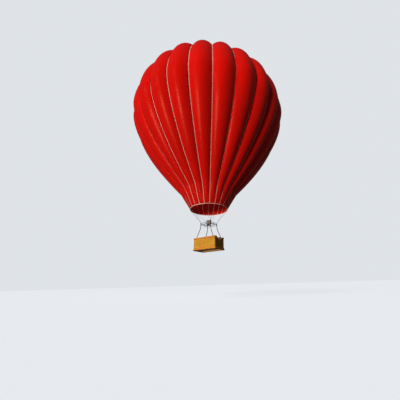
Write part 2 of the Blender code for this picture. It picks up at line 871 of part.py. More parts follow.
def wire_pull(sides):
    """The mean direction in which a corner's wires pull on its eye."""
    outward = Vector((*sides, 0)).normalized()
    quarter = math.pi / 4
    reach = MOUTH_RADIUS * math.sin(quarter) / quarter
    mouth = outward * reach + Vector((0, 0, MOUTH_Z - HOOP_WIDTH))
    return (mouth - eye_centre(*sides)).normalized()


def karabiner_path(start, along, across):
    """A closed oval from start, its length along one direction and its width across."""
    half = KARABINER_WIDTH / 2
    straight = KARABINER_LENGTH - 2 * half
    points = []
    steps = 6
    for end in (0, 1):
        for step in range(steps + 1):
            turn = math.pi * (end + step / steps)
            reach = half - half * math.sin(turn) + end * straight
            points.append(start + along * reach + across * half * math.cos(turn))
    return points


def wire_fan(knot, quarter):
    """A corner's wires, from the knot to swaged ends under the mouth's hoop."""
    solids = []
    reach = MOUTH_RADIUS - FABRIC / 2
    top_z = MOUTH_Z - HOOP_WIDTH - GAP
    for index in range(WIRES_PER_CORNER):
        angle = (quarter * WIRES_PER_CORNER + index + 0.5) * SECTOR
        top = Vector((reach * math.cos(angle), reach * math.sin(angle), top_z))
        low = top - Vector((0, 0, SWAGE_LENGTH))
        solids.append(cylinder("swage", low, top, SWAGE_RADIUS, STEEL, 6))
        solids.append(cylinder("wire", knot, (low + top) / 2, WIRE_RADIUS, STEEL, 6))
    return solids


def build_rigging():
    """At each corner a karabiner in the post's eye, and the fan of wires from its upper end."""
    eye_bore = (EYE_RADIUS - EYE_TUBE) * math.cos(math.pi / EYE_STEPS)
    slack = eye_bore - KARABINER_TUBE - GAP
    for quarter, (corner, sides) in enumerate(CORNERS.items()):
        pull = wire_pull(sides)
        turn = standing_turn(*sides)
        start = eye_centre(*sides) + pull * slack
        path = karabiner_path(start, pull, turn.col[2])
        name = f"karabiner_{corner}"
        clip = tube(name, path, KARABINER_TUBE, STEEL, cyclic=True, resolution=1)
        clip.data.twist_mode = "MINIMUM"
        centre = start + pull * (KARABINER_LENGTH + slack)
        thimble = ring("thimble", centre, EYE_RADIUS, EYE_TUBE, STEEL, turn)
        root = centre + pull * EYE_RADIUS
        tip = root + pull * FERRULE_LENGTH
        ferrule = cylinder("ferrule", root, tip, FERRULE_RADIUS, STEEL, 10)
        wires = wire_fan((root + tip) / 2, quarter)
        bundle = joined(f"flying_wires_{corner}", thimble, [ferrule] + wires)
        smooth(bundle.data)


def build_fuel_cylinders():
    """Upright fuel cylinders with a foot ring, a domed top and a collar round the valve."""
    base = FLOOR_TOP_Z + GAP
    top = base + CYLINDER_HEIGHT - COLLAR_RISE
    profile = [
        (0, base + FOOT_RISE),
        (FOOT_INNER, base + FOOT_RISE),
        (FOOT_INNER, base),
        (FOOT_OUTER, base),
        (FOOT_OUTER, base + FOOT_RISE),
        (CYLINDER_RADIUS, base + FOOT_SHOULDER),
    ]
    for degrees in (0, 30, 54):
        turn = math.radians(degrees)
        height = top - CYLINDER_DOME * (1 - math.sin(turn))
        profile.append((CYLINDER_RADIUS * math.cos(turn), height))
    profile += [
        (COLLAR_OUTER, base + CYLINDER_HEIGHT),
        (COLLAR_INNER, base + CYLINDER_HEIGHT),
        (COLLAR_INNER, top - COLLAR_DISH),
        (0, top - COLLAR_DISH),
    ]
    for corner, (side_x, side_y) in CORNERS.items():
        spot = (side_x * CYLINDER_X, side_y * CYLINDER_Y, 0)
        turned(f"fuel_cylinder_{corner}", profile, RED_JACKET, 16, spot)


clear_scene()
PARTS = new_collection("hot air balloon")
GUIDES = new_collection("guides", hidden=True)
RED_FABRIC = new_material("red fabric", (0.62, 0.008, 0.004), 0.42)
CREAM_WEBBING = new_material("cream webbing", (0.62, 0.30, 0.22), 0.75)
STEEL = new_material("steel", (0.55, 0.54, 0.52), 0.32, 1.0)
DARK_STEEL = new_material("dark steel", (0.05, 0.05, 0.06), 0.45)
BRASS = new_material("brass", (0.60, 0.42, 0.20), 0.35, 1.0)
WICKER_WEAVE = new_material("wicker", (0.56, 0.31, 0.055), 0.62)
TAN_LEATHER = new_material("tan leather", (0.44, 0.19, 0.035), 0.55)
PLYWOOD = new_material("plywood", (0.42, 0.25, 0.10), 0.60)
ASH_WOOD = new_material("ash wood", (0.46, 0.28, 0.12), 0.58)
GREY_COVER = new_material("grey cover", (0.16, 0.14, 0.15), 0.80)
RED_JACKET = new_material("red jacket", (0.30, 0.010, 0.010), 0.70)

build_gores()
build_load_tapes()
build_crown()
build_walls()
build_floor()
build_uprights()
build_frame()
build_gimbal()
build_burner()
build_rigging()
build_fuel_cylinders()
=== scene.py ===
"""The looks of a hot air balloon: its cloth, webbing, burner and woven basket, in a pale studio.

Metres, +Z up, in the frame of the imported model. The origin is on the balloon's upright axis, at the
height of the envelope's widest circle. X runs along the basket's long side.
"""

import math
from collections import namedtuple

import bmesh
import bpy
from mathutils import Matrix, Vector


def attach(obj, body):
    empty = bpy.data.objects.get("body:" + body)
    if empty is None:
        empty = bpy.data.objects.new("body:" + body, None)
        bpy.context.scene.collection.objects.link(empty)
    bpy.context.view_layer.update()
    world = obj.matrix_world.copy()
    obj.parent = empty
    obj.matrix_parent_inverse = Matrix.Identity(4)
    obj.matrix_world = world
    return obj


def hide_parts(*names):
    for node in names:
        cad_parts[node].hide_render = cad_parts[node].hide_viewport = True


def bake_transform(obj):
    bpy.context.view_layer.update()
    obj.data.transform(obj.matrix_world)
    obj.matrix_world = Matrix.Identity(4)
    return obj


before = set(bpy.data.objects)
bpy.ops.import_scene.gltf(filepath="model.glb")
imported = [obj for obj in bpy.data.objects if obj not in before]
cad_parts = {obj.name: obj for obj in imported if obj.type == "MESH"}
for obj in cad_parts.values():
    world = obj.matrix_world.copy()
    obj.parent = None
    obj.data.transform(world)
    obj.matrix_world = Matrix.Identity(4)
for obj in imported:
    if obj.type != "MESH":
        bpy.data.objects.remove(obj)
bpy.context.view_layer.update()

# Envelope
GORES = 24
SECTOR = 2 * math.pi / GORES
ENVELOPE_RADIUS = 8.20
CROWN_HEIGHT = 6.04
CROWN_POWER = 3.56
LOWER_DEPTH = 11.28
LOWER_POWER = 1.59
THROAT_Z = -8.58
MOUTH_RADIUS = 1.85
MOUTH_Z = -10.28
FABRIC = 0.010
PUFF_SHARE = 0.20
CROWN_PUFF_GAIN = -0.12
CROWN_PUFF_ANGLE = math.radians(45)
FULL_PUFF_RADIUS = 4.60
GORE_COLUMNS = 20
CROWN_STEPS = 34
CROWN_SPACING = 1.4
LOWER_STEPS = 40
THROAT_STEPS = 12
HOOP_GAP = 0.001
PANEL = 1.05

# Load tapes, crown vent and crown ring
TAPE_WIDTH = 0.050
TAPE_EDGE = 0.16
TAPE_HOLLOW = 0.003
HOOP_WIDTH = 0.060
HOOP_EDGE = 0.008
HUB_INNER_RADIUS = 0.215
HUB_OUTER_RADIUS = 0.300
CROWN_RING_TUBE = 0.014
VENT_HOLE_RADIUS = 2.40
VENT_EDGE_RADIUS = 2.68
VENT_LAP_DROP = 0.130
VENT_SEAT_GAP = 0.0155
VENT_RINGS = 26
VENT_COLUMNS = 4 * GORES
VENT_SWELL = 0.006
VENT_SWELL_MARGIN = 0.10
VENT_MIDDLE_RADIUS = 0.02
VENT_FLAT_BLEND = 0.10
LINE_RADIUS = 0.003
SHROUD_KNOT_Z = 3.30
SHROUD_INSET = 0.995
PULL_RING_RADIUS = 0.024
PULL_RING_TUBE = 0.006
PULL_LINK_RADIUS = 0.018
PULL_LINK_TUBE = 0.005
PULL_LINK_DROP = 0.042
PULL_LINE_DROP = 0.060
PULL_LINE_RADIUS = 0.0042
HUB_STEPS = 9
CLEAT = Vector((0.15, 0.60, -11.70))
CLEAT_RADIUS = 0.021
CLEAT_TUBE = 0.004
CLEARANCE = 0.0003

# Basket
BASKET_LENGTH = 2.40
BASKET_WIDTH = 1.55
BASKET_HEIGHT = 1.15
BASKET_BOTTOM_Z = -14.29
BASKET_CORNER = 0.08
WICKER = 0.050
RIM_HEIGHT = 0.14
RIM_OVERHANG = 0.022
RIM_SKIRT = 0.030
RIM_STEPS = 18
RIM_SIDE_POWER = 0.42
RIM_TOP_POWER = 0.55
RIM_TUCK = 0.010
RIM_LACE_TUCK = 0.006
END_WALL_DIP = 0.26
DIP_HALF_WIDTH = 0.55
TRIM_HEIGHT = 0.21
TRIM_THICKNESS = 0.020
TRIM_FLARE = 0.070
TRIM_LEDGE = 0.030
TRIM_STATIONS = 220
FLOOR_RECESS = 0.100
FLOOR_THICKNESS = 0.020
RUNNER_Y = 0.48
RUNNER_HEIGHT = 0.060
FLOOR_BOLTS_X = (-0.95, -0.48, 0.0, 0.48, 0.95)
WALL_TOP_Z = BASKET_BOTTOM_Z + BASKET_HEIGHT - RIM_HEIGHT
WALL_FOOT_Z = BASKET_BOTTOM_Z + TRIM_LEDGE
FLOOR_TOP_Z = BASKET_BOTTOM_Z + FLOOR_RECESS + FLOOR_THICKNESS

# Weave
STAKES = 128
STAKE_RADIUS = 0.0062
STAKE_SPACING = 0.0130
STAKE_FOOT_GAP = 0.001
STAKE_HEAD_GAP = 0.002
FIRST_STAKE_MARK = 100
POINTS_PER_STAKE = 3
WEAVERS = 72
WEAVERS_PER_BAND = 24
WEAVER_SWING = 0.0135
WEAVER_THICKNESS = 0.0078
WEAVER_OVERLAP = 1.45
LACE_PITCH = 0.105
LACE_RADIUS = 0.0032
LACE_COURSE = (
    (0.0, 0.045, 0.000),
    (0.1, 0.034, 0.002),
    (0.5, 0.012, -0.004),
    (0.9, -0.014, -0.020),
    (1.0, -0.024, -0.028),
)
STITCH_PITCH = 0.030
STITCH_LENGTH = 0.019
STITCH_RADIUS = 0.0022

# Burner frame
FRAME_Z = -11.81
FRAME_HALF = 0.60
FRAME_CORNER = 0.16
FRAME_CORNER_STEPS = 10
RAIL_SPACING = 0.13
RAIL_RADIUS = 0.019
POST_RADIUS = 0.030
POST_HEIGHT = 0.25
POST_HALF = FRAME_HALF - FRAME_CORNER * (1 - math.cos(math.pi / 4))
WEB_RADIUS = 0.014
ARM_RADIUS = 0.022
WELD = 0.0035
POST_BEVEL = 0.004
EYE_WELD_RADIUS = 0.013
EYE_WELD = 0.004

# Uprights and their sockets
UPRIGHT_RADIUS = 0.034
UPRIGHT_STRAIGHT_END = 0.22
UPRIGHT_LEAN_END = 0.90
SLEEVE_STEPS = 120
SLEEVE_SLACK = 0.0018
SLEEVE_TIES = (0.20, 0.42, 0.64, 0.86)
TIE_PINCH = 0.0035
TIE_SPREAD = 0.007
TIE_RADIUS = UPRIGHT_RADIUS - 0.0036
TIE_TUBE = 0.0030
SOCKET_X = 0.95
SOCKET_RADIUS = 0.060
SOCKET_DEPTH = 0.26
SOCKET_FLOOR = 0.020
SOCKET_TOP_DROP = 0.110
SOCKET_Y = BASKET_WIDTH / 2 - WICKER - SOCKET_RADIUS - CLEARANCE

# Flying wires and their fittings
WIRES_PER_CORNER = GORES // 4
WIRE_RADIUS = 0.004
SWAGE_RADIUS = 0.009
SWAGE_LENGTH = 0.050
FERRULE_RADIUS = 0.020
FERRULE_LENGTH = 0.057
EYE_RADIUS = 0.020
EYE_TUBE = 0.007
EYE_SUNK = 0.010
EYE_STEPS = 10
KARABINER_LENGTH = 0.100
KARABINER_WIDTH = 0.056
KARABINER_TUBE = 0.006
STRANDS = 6
STRAND_LAY = 260.0
BRAID_THREADS = 4
BRAID_LAY = 500.0

# Gimbal and burner
GIMBAL_RADIUS = 0.400
GIMBAL_TUBE = 0.015
PIN_RADIUS = 0.011
PIN_LENGTH = 0.030
PIN_HOLE_DEPTH = 0.035
PIN_GAP = 0.0004
ARM_END = GIMBAL_RADIUS + GIMBAL_TUBE + 0.045
BOSS_RADIUS = 0.024
BOSS_END = GIMBAL_RADIUS - GIMBAL_TUBE - 0.020
CHEEK_END = BOSS_END - 0.012
CHEEK_THICKNESS = 0.024
CHEEK_TOP = 0.022
BLOCK_LENGTH = 0.420
BLOCK_WIDTH = 0.110
BLOCK_TOP = -0.035
BLOCK_BOTTOM = -0.120
BLOCK_BOLTS_X = (-0.18, -0.06, 0.06, 0.18)
BLOCK_BOLTS_Y = 0.040
BAR_WIDTH = 0.040
BAR_TOP = -0.043
BAR_BOTTOM = -0.077
CAN_RADIUS = 0.125
CAN_SPACING = 0.270
CAN_MIDDLES = (-CAN_SPACING / 2, CAN_SPACING / 2)
CAN_HEIGHT = 0.390
CAN_WALL = 0.004
CAN_BEAD = 0.012
CAN_BASE_Z = FRAME_Z + 0.020
CAN_COLUMNS = 96
CAN_ROWS = 40
HOLE_SHIFTS = {3: 0, 4: 0, 8: 2, 9: 2, 32: 2, 33: 2}
SEAT_HEIGHT = 0.014
SEAT_HALF_WIDTH = 0.012
JETS = 16
JET_HEIGHT = 0.045
JET_RING_RADIUS = 0.042
JET_RING_TUBE = 0.008
COIL_RADIUS = 0.088
COIL_TUBE = 0.009
COIL_TURNS = 4
COIL_STEPS = 28
COIL_PITCH = 0.056
COIL_START = 0.105
COIL_LEG = 0.070

# Fuel cylinders
CYLINDER_RADIUS = 0.160
CYLINDER_HEIGHT = 1.060
CYLINDER_X = 0.955
CYLINDER_Y = 0.360
CYLINDER_DOME = 0.090
COLLAR_RISE = 0.110
CYLINDER_BASE = FLOOR_TOP_Z + CLEARANCE
JACKET_LOW = CYLINDER_BASE + 0.075
JACKET_HIGH = CYLINDER_BASE + CYLINDER_HEIGHT - COLLAR_RISE - CYLINDER_DOME - 0.004
JACKET_ROWS = 44
JACKET_COLUMNS = 64
STRAP_SHARES = (0.30, 0.72)

# Camera, in the photograph's 400 pixel frame
PICTURE_PIXELS = 400
FOCAL_PIXELS = 216.8
LENS_COLUMN = 227.4
SENSOR_WIDTH = 36.0
CAMERA_AZIMUTH = math.radians(35.5)
CAMERA_DISTANCE = 20.43
CAMERA_Z = -17.25
CAMERA_PITCH = math.radians(21.26)
CAMERA_YAW = math.radians(-5.21)
CAMERA_ROLL = math.radians(-1.67)
FLOOR_Z = -18.39
FLOOR_RADIUS = 900.0
GLOW_Z = -5.5
GLOW_POWER = 90.0

CORNERS = {
    "rear_right": (1, 1),
    "rear_left": (-1, 1),
    "front_left": (-1, -1),
    "front_right": (1, -1),
}
UP = Vector((0, 0, 1))
Row = namedtuple("Row", "radius height normal puff")


def ease(value):
    """A smooth step from 0 to 1."""
    value = min(1.0, max(0.0, value))
    return value * value * (3 - 2 * value)


def around(turn, radius=1.0, height=0.0):
    """The point at that angle about the upright axis."""
    return Vector((radius * math.cos(turn), radius * math.sin(turn), height))


def running_length(points, looped=False):
    """The distance from the first point to each of the others, and back round to it if looped."""
    lengths = [0.0]
    ends = list(points[1:])
    if looped:
        ends.append(points[0])
    for start, end in zip(points, ends):
        lengths.append(lengths[-1] + (end - start).length)
    return lengths


def carried_frames(path, looped):
    """Two directions across the path at each point, carried along it without twisting."""
    count = len(path)
    tangents = []
    for index in range(count):
        before = path[index - 1] if looped or index else path[0]
        after = path[(index + 1) % count] if looped or index < count - 1 else path[-1]
        tangents.append((after - before).normalized())
    side = tangents[0].orthogonal().normalized()
    sides = [side]
    for first, second in zip(tangents, tangents[1:]):
        side = first.rotation_difference(second) @ side
        sides.append(side.normalized())
    if looped:
        closing = tangents[-1].rotation_difference(tangents[0]) @ sides[-1]
        slip = closing.angle(sides[0], 0.0)
        if closing.cross(sides[0]).dot(tangents[0]) < 0:
            slip = -slip
        for index, tangent in enumerate(tangents):
            sides[index] = Matrix.Rotation(slip * index / count, 3, tangent) @ sides[index]
    return [(side, tangent.cross(side)) for side, tangent in zip(sides, tangents)]


def new_object(name, data):
    """A new object in the scene."""
    made = bpy.data.objects.new(name, data)
    bpy.context.scene.collection.objects.link(made)
    return made


class Shape:
    """Points and faces that grow strip by strip, with a map of widths and lengths on them."""

    def __init__(self):
        self.points = []
        self.faces = []
        self.marks = []

    def strip(self, rings, closed=False, looped=False, capped=False, first_mark=0.0):
        """Faces between rings of points. closed joins each ring's ends, looped the last to the first."""
        start = len(self.points)
        width = len(rings[0])
        along = running_length([ring[0] for ring in rings], looped)
        for ring in rings:
            self.points.extend(ring)
        spans = width if closed else width - 1
        for row in range(len(rings) if looped else len(rings) - 1):
            here = start + row * width
            after = start + (row + 1) % len(rings) * width
            for column in range(spans):
                beside = (column + 1) % width
                self.faces.append((here + column, here + beside, after + beside, after + column))
                left = first_mark + column / spans
                right = first_mark + (column + 1) / spans
                low, high = along[row], along[row + 1]
                self.marks += [(left, low), (right, low), (right, high), (left, high)]
        if capped:
            last = start + (len(rings) - 1) * width
            self.faces.append(tuple(range(start + width - 1, start - 1, -1)))
            self.faces.append(tuple(range(last, last + width)))
            self.marks += [(first_mark, 0.0)] * (2 * width)

    def tube(self, path, radius, sides=8, looped=False, first_mark=0.0):
        """A round bar along a path. radius is one number, or one for each point."""
        radii = radius if isinstance(radius, list) else [radius] * len(path)
        rings = []
        for point, size, (side, rise) in zip(path, radii, carried_frames(path, looped)):
            turns = [2 * math.pi * step / sides for step in range(sides)]
            rings.append([point + size * (side * math.cos(t) + rise * math.sin(t)) for t in turns])
        self.strip(rings, closed=True, looped=looped, capped=not looped, first_mark=first_mark)

    def turned(self, profile, origin=(0, 0, 0), axis=(0, 0, 1), steps=24, looped=False):
        """A (radius, distance) profile turned about an axis. It is capped unless its ends join."""
        origin, axis = Vector(origin), Vector(axis).normalized()
        side = axis.orthogonal().normalized()
        rise = axis.cross(side)
        turns = [2 * math.pi * step / steps for step in range(steps)]
        spokes = [side * math.cos(turn) + rise * math.sin(turn) for turn in turns]
        rings = []
        for radius, distance in profile:
            rings.append([origin + axis * distance + radius * spoke for spoke in spokes])
        self.strip(rings, closed=True, looped=looped, capped=not looped)

    def torus(self, centre, axis, radius, tube_radius, steps=32, sides=8):
        """A ring about an axis."""
        profile = []
        for step in range(sides):
            turn = 2 * math.pi * step / sides
            out = radius + tube_radius * math.cos(turn)
            profile.append((out, tube_radius * math.sin(turn)))
        self.turned(profile, centre, axis, steps, looped=True)

    def block(self, low, high, bevel, segments=2):
        """A box between two corners with rounded edges."""
        low, high = Vector(low), Vector(high)
        bm = bmesh.new()
        bmesh.ops.create_cube(bm, size=1.0)
        bmesh.ops.scale(bm, vec=high - low, verts=bm.verts)
        bmesh.ops.bevel(bm, geom=bm.edges, offset=bevel, segments=segments, affect="EDGES")
        start = len(self.points)
        centre = (low + high) / 2
        self.points.extend(vert.co + centre for vert in bm.verts)
        for face in bm.faces:
            self.faces.append(tuple(start + vert.index for vert in face.verts))
            self.marks += [(0.0, 0.0)] * len(face.verts)
        bm.free()

    def piece(self, name, material, slot, body="balloon", sharp=40, outward=True):
        """The shape as a piece of the model, riding on a body."""
        mesh = bpy.data.meshes.new(name)
        mesh.from_pydata(self.points, [], self.faces)
        layer = mesh.uv_layers.new(name="Map")
        layer.data.foreach_set("uv", [value for mark in self.marks for value in mark])
        if outward:
            bm = bmesh.new()
            bm.from_mesh(mesh)
            bmesh.ops.recalc_face_normals(bm, faces=bm.faces)
            bm.to_mesh(mesh)
            bm.free()
        mesh.materials.append(material)
        mesh.shade_smooth()
        mesh.set_sharp_from_angle(angle=math.radians(sharp))
        made = new_object(name, mesh)
        if body:
            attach(made, body)
        return made


def fill(tree, socket, value):
    """Links a socket to another, or sets its value."""
    if isinstance(value, bpy.types.NodeSocket):
        tree.links.new(value, socket)
    else:
        socket.default_value = value


def add_node(tree, kind, inputs=None, **settings):
    """A shader node with its settings, and its inputs set or linked by name or number."""
    made = tree.nodes.new(f"ShaderNode{kind}")
    for name, value in settings.items():
        setattr(made, name, value)
    for key, value in (inputs or {}).items():
        fill(tree, made.inputs[key], value)
    return made


def calc(tree, operation, first, second=0.0, clamp=False):
    """The result of one step of arithmetic."""
    made = add_node(tree, "Math", {0: first, 1: second}, operation=operation, use_clamp=clamp)
    return made.outputs[0]


def spread(tree, value, low, high, to_low=0.0, to_high=1.0):
    """A value's place between low and high, smoothed and moved to another range."""
    inputs = {"Value": value, "From Min": low, "From Max": high, "To Min": to_low, "To Max": to_high}
    return add_node(tree, "MapRange", inputs, interpolation_type="SMOOTHSTEP").outputs["Result"]


def blend_colour(tree, factor, first, second):
    """Two colours mixed by a factor, through the node's factor and its two colour inputs."""
    made = add_node(tree, "Mix", {0: factor, 6: first, 7: second}, data_type="RGBA")
    return made.outputs[2]


def noise(tree, vector, scale, detail=3.0, roughness=0.5):
    """Cloudy noise as a factor."""
    inputs = {"Vector": vector, "Scale": scale, "Detail": detail, "Roughness": roughness}
    return add_node(tree, "TexNoise", inputs).outputs["Fac"]


def stretched(tree, vector, scale):
    """A vector scaled differently along each axis."""
    return add_node(tree, "Mapping", {"Vector": vector, "Scale": scale}).outputs["Vector"]


def object_place(tree):
    """Where a point is on the object, in metres."""
    return add_node(tree, "TexCoord").outputs["Object"]


def map_place(tree):
    """The map's vector, its width coordinate and its length coordinate."""
    vector = add_node(tree, "UVMap", uv_map="Map").outputs["UV"]
    parts = add_node(tree, "SeparateXYZ", {"Vector": vector})
    return vector, parts.outputs["X"], parts.outputs["Y"]


def new_group(name, sockets):
    """A shader node group with these (name, kind, default) inputs, its tree and its input node."""
    tree = bpy.data.node_groups.new(name, "ShaderNodeTree")
    for label, kind, default in sockets:
        socket = tree.interface.new_socket(label, in_out="INPUT", socket_type=f"NodeSocket{kind}")
        if default is not None:
            socket.default_value = default
    return tree, tree.nodes.new("NodeGroupInput")


def group_output(tree, results):
    """Names what a group gives out and links it."""
    for label, (kind, _) in results.items():
        tree.interface.new_socket(label, in_out="OUTPUT", socket_type=f"NodeSocket{kind}")
    ends = tree.nodes.new("NodeGroupOutput")
    for label, (_, value) in results.items():
        tree.links.new(value, ends.inputs[label])


def mottle_group():
    """Cloudy change of a colour: darker and lighter patches at two sizes."""
    sockets = [
        ("Vector", "Vector", None),
        ("Colour", "Color", (0.5, 0.5, 0.5, 1.0)),
        ("Patch Scale", "Float", 1.0),
        ("Strength", "Float", 0.2),
    ]
    tree, given = new_group("Mottle", sockets)
    broad = noise(tree, given.outputs["Vector"], given.outputs["Patch Scale"], 2.0)
    fine_scale = calc(tree, "MULTIPLY", given.outputs["Patch Scale"], 7.0)
    fine = noise(tree, given.outputs["Vector"], fine_scale, 4.0, 0.6)
    both = calc(tree, "MULTIPLY_ADD", broad, 0.6)
    tree.links.new(calc(tree, "MULTIPLY", fine, 0.4), both.node.inputs[2])
    swing = calc(tree, "SUBTRACT", both, 0.5)
    value = calc(tree, "MULTIPLY_ADD", swing, given.outputs["Strength"])
    value.node.inputs[2].default_value = 1.0
    changed = add_node(tree, "HueSaturation", {"Value": value, "Color": given.outputs["Colour"]})
    group_output(tree, {"Colour": ("Color", changed.outputs["Color"]), "Factor": ("Float", both)})
    return tree


def weave_group():
    """The crossed threads of cloth or webbing, as a height."""
    sockets = [("Vector", "Vector", None), ("Threads", "Float", 100.0), ("Slack", "Float", 0.3)]
    tree, given = new_group("Weave", sockets)
    heights = []
    for direction in ("X", "Y"):
        inputs = {
            "Vector": given.outputs["Vector"],
            "Scale": given.outputs["Threads"],
            "Distortion": given.outputs["Slack"],
            "Detail": 1.0,
        }
        wave = add_node(tree, "TexWave", inputs, bands_direction=direction)
        heights.append(wave.outputs["Fac"])
    group_output(tree, {"Height": ("Float", calc(tree, "MULTIPLY", *heights))})
    return tree


def grain_group():
    """The long fibres of wood and cane along one axis: a height and a streak factor."""
    sockets = [("Vector", "Vector", None), ("Stretch", "Vector", (1.0, 1.0, 1.0)), ("Scale", "Float", 20.0)]
    tree, given = new_group("Grain", sockets)
    both = {0: given.outputs["Vector"], 1: given.outputs["Stretch"]}
    place = add_node(tree, "VectorMath", both, operation="MULTIPLY").outputs["Vector"]
    streak = noise(tree, place, given.outputs["Scale"], 6.0, 0.65)
    pores_scale = calc(tree, "MULTIPLY", given.outputs["Scale"], 5.0)
    pores = noise(tree, place, pores_scale, 2.0)
    height = calc(tree, "ADD", streak, calc(tree, "MULTIPLY", pores, 0.4))
    group_output(tree, {"Streak": ("Float", streak), "Height": ("Float", height)})
    return tree


def wear_group():
    """Scuffs and rubbed patches: a mask that grows with the amount."""
    sockets = [("Vector", "Vector", None), ("Scale", "Float", 10.0), ("Amount", "Float", 0.3)]
    tree, given = new_group("Wear", sockets)
    broad = noise(tree, given.outputs["Vector"], given.outputs["Scale"], 5.0, 0.7)
    fine_scale = calc(tree, "MULTIPLY", given.outputs["Scale"], 9.0)
    fine = noise(tree, given.outputs["Vector"], fine_scale, 3.0, 0.7)
    mixed = calc(tree, "ADD", calc(tree, "MULTIPLY", broad, 0.7), calc(tree, "MULTIPLY", fine, 0.3))
    edge = calc(tree, "SUBTRACT", 0.72, calc(tree, "MULTIPLY", given.outputs["Amount"], 0.4))
    above = calc(tree, "SUBTRACT", mixed, edge)
    group_output(tree, {"Mask": ("Float", calc(tree, "MULTIPLY", above, 9.0, clamp=True))})
    return tree


def hide_group():
    """The pebbled grain and creases of leather or coated cloth, as a height."""
    sockets = [("Vector", "Vector", None), ("Scale", "Float", 200.0)]
    tree, given = new_group("Hide", sockets)
    inputs = {"Vector": given.outputs["Vector"], "Scale": given.outputs["Scale"]}
    cells = add_node(tree, "TexVoronoi", inputs, feature="F1").outputs["Distance"]
    crease_scale = calc(tree, "DIVIDE", given.outputs["Scale"], 8.0)
    creases = noise(tree, given.outputs["Vector"], crease_scale, 5.0, 0.6)
    height = calc(tree, "ADD", cells, calc(tree, "MULTIPLY", creases, 1.4))
    group_output(tree, {"Height": ("Float", height)})
    return tree


GROUPS = {
    "Mottle": mottle_group(),
    "Weave": weave_group(),
    "Grain": grain_group(),
    "Wear": wear_group(),
    "Hide": hide_group(),
}


def use_group(tree, name, **inputs):
    """One of the shared groups, placed in a material with its own values."""
    made = tree.nodes.new("ShaderNodeGroup")
    made.node_tree = GROUPS[name]
    for label, value in inputs.items():
        fill(tree, made.inputs[label.replace("_", " ")], value)
    return made.outputs


def new_finish(name, **sockets):
    """A material with its tree and its shader, whose plain sockets are set."""
    made = bpy.data.materials.new(name)
    made.use_nodes = True
    shader = made.node_tree.nodes["Principled BSDF"]
    for label, value in sockets.items():
        shader.inputs[label.replace("_", " ")].default_value = value
    return made, made.node_tree, shader


def add_bump(tree, shader, height, distance, strength=1.0):
    """Raises the surface by a height."""
    inputs = {"Height": height, "Distance": distance, "Strength": strength}
    bump = add_node(tree, "Bump", inputs)
    if shader.inputs["Normal"].is_linked:
        tree.links.new(shader.inputs["Normal"].links[0].from_socket, bump.inputs["Normal"])
    tree.links.new(bump.outputs["Normal"], shader.inputs["Normal"])


def line_mask(tree, value, pitch, width):
    """1 on thin lines that far apart along a value."""
    fold = calc(tree, "PINGPONG", value, pitch / 2)
    return spread(tree, fold, 0.0, width, 1.0, 0.0)


def red_cloth():
    """Coated ripstop: panel seams, puckers beside the tapes, fine threads and a darker throat."""
    finish, tree, shader = new_finish("red cloth", Specular_IOR_Level=0.5, Specular_Tint=(1.0, 0.4, 0.3, 1))
    vector, across, along = map_place(tree)
    place = object_place(tree)
    red = (0.65, 0.0042, 0.0018, 1.0)
    mottled = use_group(tree, "Mottle", Vector=place, Colour=red, Patch_Scale=0.35, Strength=0.22)
    seam = line_mask(tree, along, PANEL, 0.012)
    seam_share = calc(tree, "MULTIPLY", seam, 0.22)
    seamed = blend_colour(tree, seam_share, mottled["Colour"], (0.25, 0.002, 0.001, 1))
    height = add_node(tree, "SeparateXYZ", {"Vector": place}).outputs["Z"]
    scorched = spread(tree, height, MOUTH_Z, THROAT_Z + 0.6, 0.25, 0.0)
    colour = blend_colour(tree, scorched, seamed, (0.42, 0.006, 0.004, 1))
    tree.links.new(colour, shader.inputs["Base Color"])
    rough = spread(tree, mottled["Factor"], 0.3, 0.7, 0.26, 0.34)
    tree.links.new(rough, shader.inputs["Roughness"])
    middle = calc(tree, "ABSOLUTE", calc(tree, "SUBTRACT", across, 0.5))
    near_tape = spread(tree, middle, 0.30, 0.50, 0.0, 1.0)
    gathers = noise(tree, stretched(tree, vector, (1.2, 6.0, 1.0)), 1.0, 3.0)
    pucker = calc(tree, "MULTIPLY", gathers, near_tape)
    add_bump(tree, shader, pucker, 0.020)
    add_bump(tree, shader, seam, 0.004)
    threads = use_group(tree, "Weave", Vector=place, Threads=45.0, Slack=0.2)
    add_bump(tree, shader, threads["Height"], 0.0006, 0.2)
    return finish


def cream_webbing():
    """Woven load tape with a chevron of threads, two rows of stitches and soiled patches."""
    finish, tree, shader = new_finish("cream webbing", Sheen_Weight=0.2)
    across, along = map_place(tree)[1:]
    place = object_place(tree)
    cream = (0.80, 0.34, 0.26, 1.0)
    mottled = use_group(tree, "Mottle", Vector=place, Colour=cream, Patch_Scale=1.3, Strength=0.35)
    middle = calc(tree, "ABSOLUTE", calc(tree, "SUBTRACT", across, 0.5))
    from_seam = calc(tree, "ABSOLUTE", calc(tree, "SUBTRACT", middle, 0.33))
    seam = spread(tree, from_seam, 0.0, 0.05, 1.0, 0.0)
    dashes = calc(tree, "GREATER_THAN", calc(tree, "PINGPONG", along, 0.010), 0.003)
    stitches = calc(tree, "MULTIPLY", seam, dashes)
    stitch_share = calc(tree, "MULTIPLY", stitches, 0.6)
    dyed = blend_colour(tree, stitch_share, mottled["Colour"], (0.35, 0.05, 0.04, 1))
    tree.links.new(dyed, shader.inputs["Base Color"])
    tree.links.new(spread(tree, mottled["Factor"], 0.2, 0.8, 0.62, 0.8), shader.inputs["Roughness"])
    chevron = calc(tree, "ADD", calc(tree, "MULTIPLY", middle, 60.0), calc(tree, "MULTIPLY", along, 900.0))
    add_bump(tree, shader, calc(tree, "SINE", chevron), 0.0006, 0.6)
    add_bump(tree, shader, stitches, 0.0010)
    return finish


